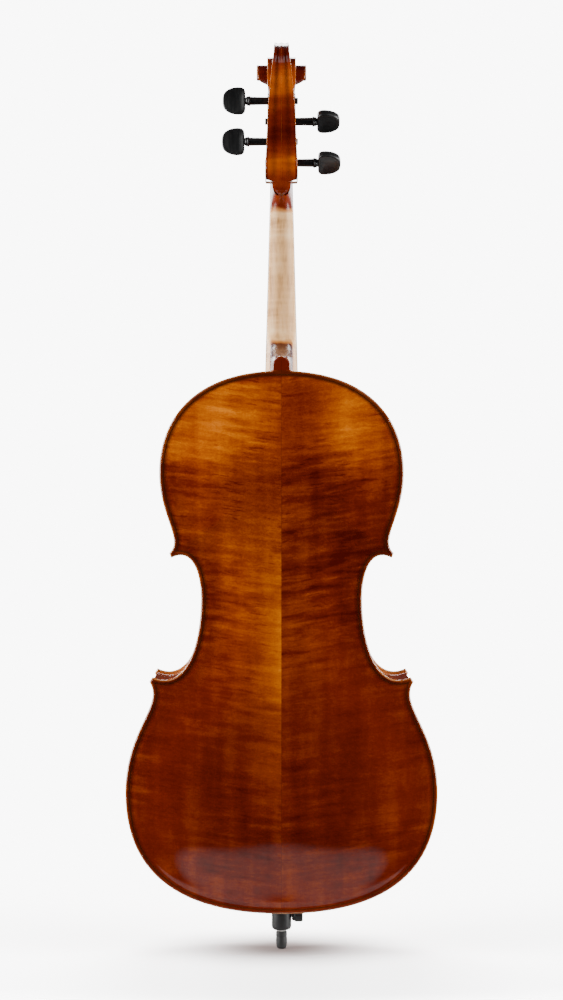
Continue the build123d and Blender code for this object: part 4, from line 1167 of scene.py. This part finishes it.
def build_peg(name):
    s, b, side, out, turn = PEGS[name]
    low = 6 - (out + 23.5) / 50
    prof = [(-23.5, 0.01), (-23.5, low - 0.6), (-22.8, low), (out, 6.0), (out, 6.9), (out + 0.7, 7.35),
            (out + 1.9, 7.4), (out + 2.5, 6.7),
            (out + 3.0, 6.2), (out + 3.5, 6.8), (out + 4.4, 6.9), (out + 5.0, 5.9), (out + 6.2, 5.3),
            (out + 7.6, 5.6), (out + 8.6, 6.0)]
    prof = rounded(prof, 0.35)
    pts = lathe_points(prof, 48)
    verts, faces = peg_head_mesh(out + 7)
    ang = math.radians(90 + turn * side)
    tall = np.array((0, math.cos(ang), math.sin(ang)))
    flat = np.array((0, -math.sin(ang), math.cos(ang)))
    axis = np.array((side, 0, 0))
    at = np.array(neck_point(0, s, b))
    head = at + verts[:, :1] * axis + verts[:, 1:2] * tall + verts[:, 2:] * flat
    stem = at + pts[:, :1] * axis + pts[:, 1:2] * (0, 1, 0) + pts[:, 2:] * (0, 0, 1)
    both = np.vstack([stem, head])
    cut = grid_faces(len(prof), 48, ring=True, flip=side > 0)
    flip = side < 0
    shift = [tuple(i + len(stem) for i in (f[::-1] if flip else f)) for f in faces]
    make("peg_wood_" + name, both, cut + shift, PEG, "peg_body_" + name, sharp=50, old=("peg_" + name,))


for peg in PEGS:
    build_peg(peg)


# ---------------------------------------------------------------- endpin

UP = (0, 0, 1)
lathe("endpin_collar", [(27.1, 5.12), (27.1, 9.6), (27.5, 11.6), (29.0, 13.2), (31.6, 14.05), (44.0, 14.05),
                        (61.0, 14.05), (62.4, 13.4),
                        (62.4, 11.2), (100.0, 9.4), (100.0, 5.12)], (0, 0, 0), UP, BLACK, r=1.0,
      old=("endpin_plug",), segs=72)
lathe("endpin_ferrule_ring", [(24.9, 5.1), (24.9, 6.1), (25.2, 6.5), (26.7, 6.5), (27.1, 6.2), (27.1, 5.1)],
      (0, 0, 0), UP, NICKEL,
      r=0.2, old=("endpin_ferrule",), segs=48)
lathe("endpin_rod_shaft", [(6, 0.01), (6, 4.2), (6.8, 5.0), (538.5, 5.0), (540, 3.6), (540, 0.01)], (0, 0, 0),
      UP, STEEL, "endpin_body",
      r=0.3, old=("endpin_rod",), segs=40)
lathe("endpin_rubber_tip", [(0, 0.01), (0, 4.2), (0.8, 6.0), (3.6, 7.3), (8.0, 7.9), (16.0, 7.95),
                            (16.8, 7.5), (17.4, 7.5), (18.2, 7.95),
                            (23.6, 7.95), (24.7, 7.2), (24.7, 4.9)], (0, 0, 0), UP, RUBBER, "endpin_body",
      r=0.7, old=("endpin_tip",),
      segs=56)


def knob_with_grip(name, prof, teeth, deep, origin, x_dir, mat, body, old, grip):
    """A turned knob with grooves between two places along it."""
    prof = rounded(prof, 0.5)
    segs = teeth * 6
    verts = []
    for a, r in prof:
        for k in range(segs):
            t = 2 * math.pi * k / segs
            cut = deep * (0.5 - 0.5 * math.cos(teeth * t)) if grip[0] < a < grip[1] and r > 2 else 0
            verts.append((a, (r - cut) * math.cos(t), (r - cut) * math.sin(t)))
    faces = grid_faces(len(prof), segs, ring=True, flip=True)
    return make(name, place(verts, origin, x_dir), faces, mat, body, 35, old=old)


knob_with_grip("clamp_knob_grip", [(14.5, 3.02), (14.5, 6.0), (15.3, 7.2), (17.0, 7.6), (18.2, 7.6),
                                   (18.6, 9.0), (19.4, 9.3), (20.6, 9.3),
                                   (22.0, 9.3), (24.0, 9.3), (26.0, 9.3), (28.4, 9.3), (29.4, 8.9),
                                   (30.3, 7.6), (30.4, 0.01)], 16, 0.55,
               (0, 0, 47), (-1, 0, 0), BLACK, "clamp_knob_body", ("clamp_knob",), (19.0, 29.2))

# ---------------------------------------------------------------- fittings kept from the solid model


def dress(node, mat, bevel=0.4, segments=2):
    """A solid-model piece with softened edges and its finish."""
    ob = frame["nodes"][node]
    ob.data.materials.clear()
    ob.data.materials.append(mat)
    for p in ob.data.polygons:
        p.material_index = 0
    if bevel:
        mod = ob.modifiers.new("edges", "BEVEL")
        mod.width = bevel * MM
        mod.segments = segments
        mod.limit_method = "ANGLE"
        mod.angle_limit = math.radians(38)
        mod.harden_normals = True


dress("fingerboard", EBONY, 0.7, 3)
dress("nut", EBONY, 0.5)
dress("saddle", EBONY, 0.6)
dress("bridge", BRIDGE, 0.5)
dress("tailpiece", TAIL, 0.7, 3)
dress("tailpiece_fret", EBONY, 0.3)
dress("tailgut", CORD, 0)
dress("tuner_pins", STEEL, 0)
dress("clamp_screw", STEEL, 0.3)
for key in "cgda":
    dress("string_" + key, WIRE, 0)
    dress("winding_" + key, WIRE, 0)
    dress("tuner_lever_" + key, DARK_STEEL, 0.3)
    dress("tuner_screw_" + key, NICKEL, 0.2)
    dress("tuner_knob_" + key, NICKEL, 0.3)
for key in ("upper_block", "lower_block", "corner_blocks_upper", "corner_blocks_lower", "bass_bar",
            "sound_post"):
    dress(key, INSIDE, 0.6)
for key in frame["nodes"]:
    if key.startswith("lining"):
        dress(key, INSIDE, 0)


# ---------------------------------------------------------------- studio

WHITE = 2.9            # of the floor, to the camera


def floor():
    """A pale sheet whose front edge lies just before the cello; it is brighter to the camera alone and has a
    soft shadow painted round the endpin.
    """
    m = Mat("studio_floor")
    r = m.math("SQRT", m.add(m.mul(m.x, m.x), m.mul(m.add(m.y, 0.9), m.add(m.y, 0.9))))
    back = m.math("SQRT", m.add(m.mul(m.x, m.x), m.mul(m.y, m.y)))
    fade = m.mul(m.range(r, 1.16, 1.24, 1.0, 0.0), m.range(back, 0.25, 1.15, 1.0, 0.0))
    near = m.math("SQRT", m.add(m.mul(m.x, m.x), m.mul(m.mul(m.y, m.y), 3.0)))
    # painted shadow: the floor colour darkens round the endpin, where the body shades it
    floor_painted_shadow = m.mix(m.range(near, 0.02, 0.24, 1.0, 0.0), (WHITE, WHITE, WHITE),
                  (WHITE * 0.12, WHITE * 0.10, WHITE * 0.095))
    seen = m.n("ShaderNodeBsdfDiffuse", i={0: floor_painted_shadow})
    plain = m.n("ShaderNodeBsdfDiffuse", i={0: (0.52, 0.51, 0.50)})
    clear = m.n("ShaderNodeBsdfTransparent")
    path = m.n("ShaderNodeLightPath")
    both = m.n("ShaderNodeMixShader", i={0: path.outputs["Is Camera Ray"], 1: plain.outputs[0],
                                         2: seen.outputs[0]})
    out = m.n("ShaderNodeMixShader", i={0: fade, 1: clear.outputs[0], 2: both.outputs[0]})
    end = [n for n in m.t.nodes if n.type == "OUTPUT_MATERIAL"][0]
    m.t.links.new(out.outputs[0], end.inputs[0])
    me = bpy.data.meshes.new("studio_floor")
    ang = np.linspace(0, 2 * math.pi, 96, endpoint=False)
    me.from_pydata([(1.3 * math.cos(a), 1.3 * math.sin(a) - 0.9, 0) for a in ang], [], [tuple(range(96))])
    me.materials.append(m.m)
    ob = new_object("studio_floor", me)


def world():
    w = bpy.data.worlds.new("studio")
    bpy.context.scene.world = w
    w.use_nodes = True
    t = w.node_tree
    t.nodes.clear()
    out = t.nodes.new("ShaderNodeOutputWorld")
    seen = t.nodes.new("ShaderNodeBackground")
    dim = t.nodes.new("ShaderNodeBackground")
    mix = t.nodes.new("ShaderNodeMixShader")
    path = t.nodes.new("ShaderNodeLightPath")
    seen.inputs[0].default_value = (1, 1, 1, 1)
    seen.inputs[1].default_value = 9.0
    dim.inputs[0].default_value = (0.95, 0.97, 1.0, 1)
    dim.inputs[1].default_value = 0.035
    t.links.new(path.outputs["Is Camera Ray"], mix.inputs[0])
    t.links.new(dim.outputs[0], mix.inputs[1])
    t.links.new(seen.outputs[0], mix.inputs[2])
    t.links.new(mix.outputs[0], out.inputs[0])


def softbox(name, at, to, wide, high, power):
    light = bpy.data.lights.new(name, "AREA")
    light.shape = "RECTANGLE"
    light.size = wide
    light.size_y = high
    light.energy = power
    ob = bpy.data.objects.new(name, light)
    bpy.context.scene.collection.objects.link(ob)
    ob.location = at
    ob.rotation_euler = (Vector(to) - Vector(at)).to_track_quat("-Z", "Y").to_euler()


def camera():
    cam = bpy.data.cameras.new("photo_camera")
    cam.lens = 75.1
    cam.sensor_width = 36.0
    cam.shift_y = -0.0395
    cam.clip_start = 0.05
    cam.clip_end = 60.0
    ob = bpy.data.objects.new("photo_camera", cam)
    bpy.context.scene.collection.objects.link(ob)
    ob.location = (0.0, 2.96, 0.692)
    ob.rotation_euler = (math.pi / 2, 0, math.pi)
    bpy.context.scene.camera = ob


floor()
world()
softbox("key_left", (2.9, 0.75, 1.2), (0, 0, 0.65), 1.3, 2.4, 260)
softbox("key_right", (-2.9, 0.75, 1.1), (0, 0, 0.65), 1.3, 2.4, 230)
softbox("top_light", (0, -1.7, 2.8), (0, 0.05, 0.4), 1.5, 0.9, 90)
softbox("top_left", (1.2, 1.5, 2.4), (0, 0, 0.8), 0.8, 1.2, 6)
softbox("top_right", (-1.2, 1.5, 2.4), (0, 0, 0.8), 0.8, 1.2, 6)
softbox("front_left", (1.6, -2.3, 1.7), (0, 0, 0.6), 1.2, 1.8, 90)
softbox("front_right", (-1.6, -2.3, 1.4), (0, 0, 0.6), 1.2, 1.8, 60)
camera()
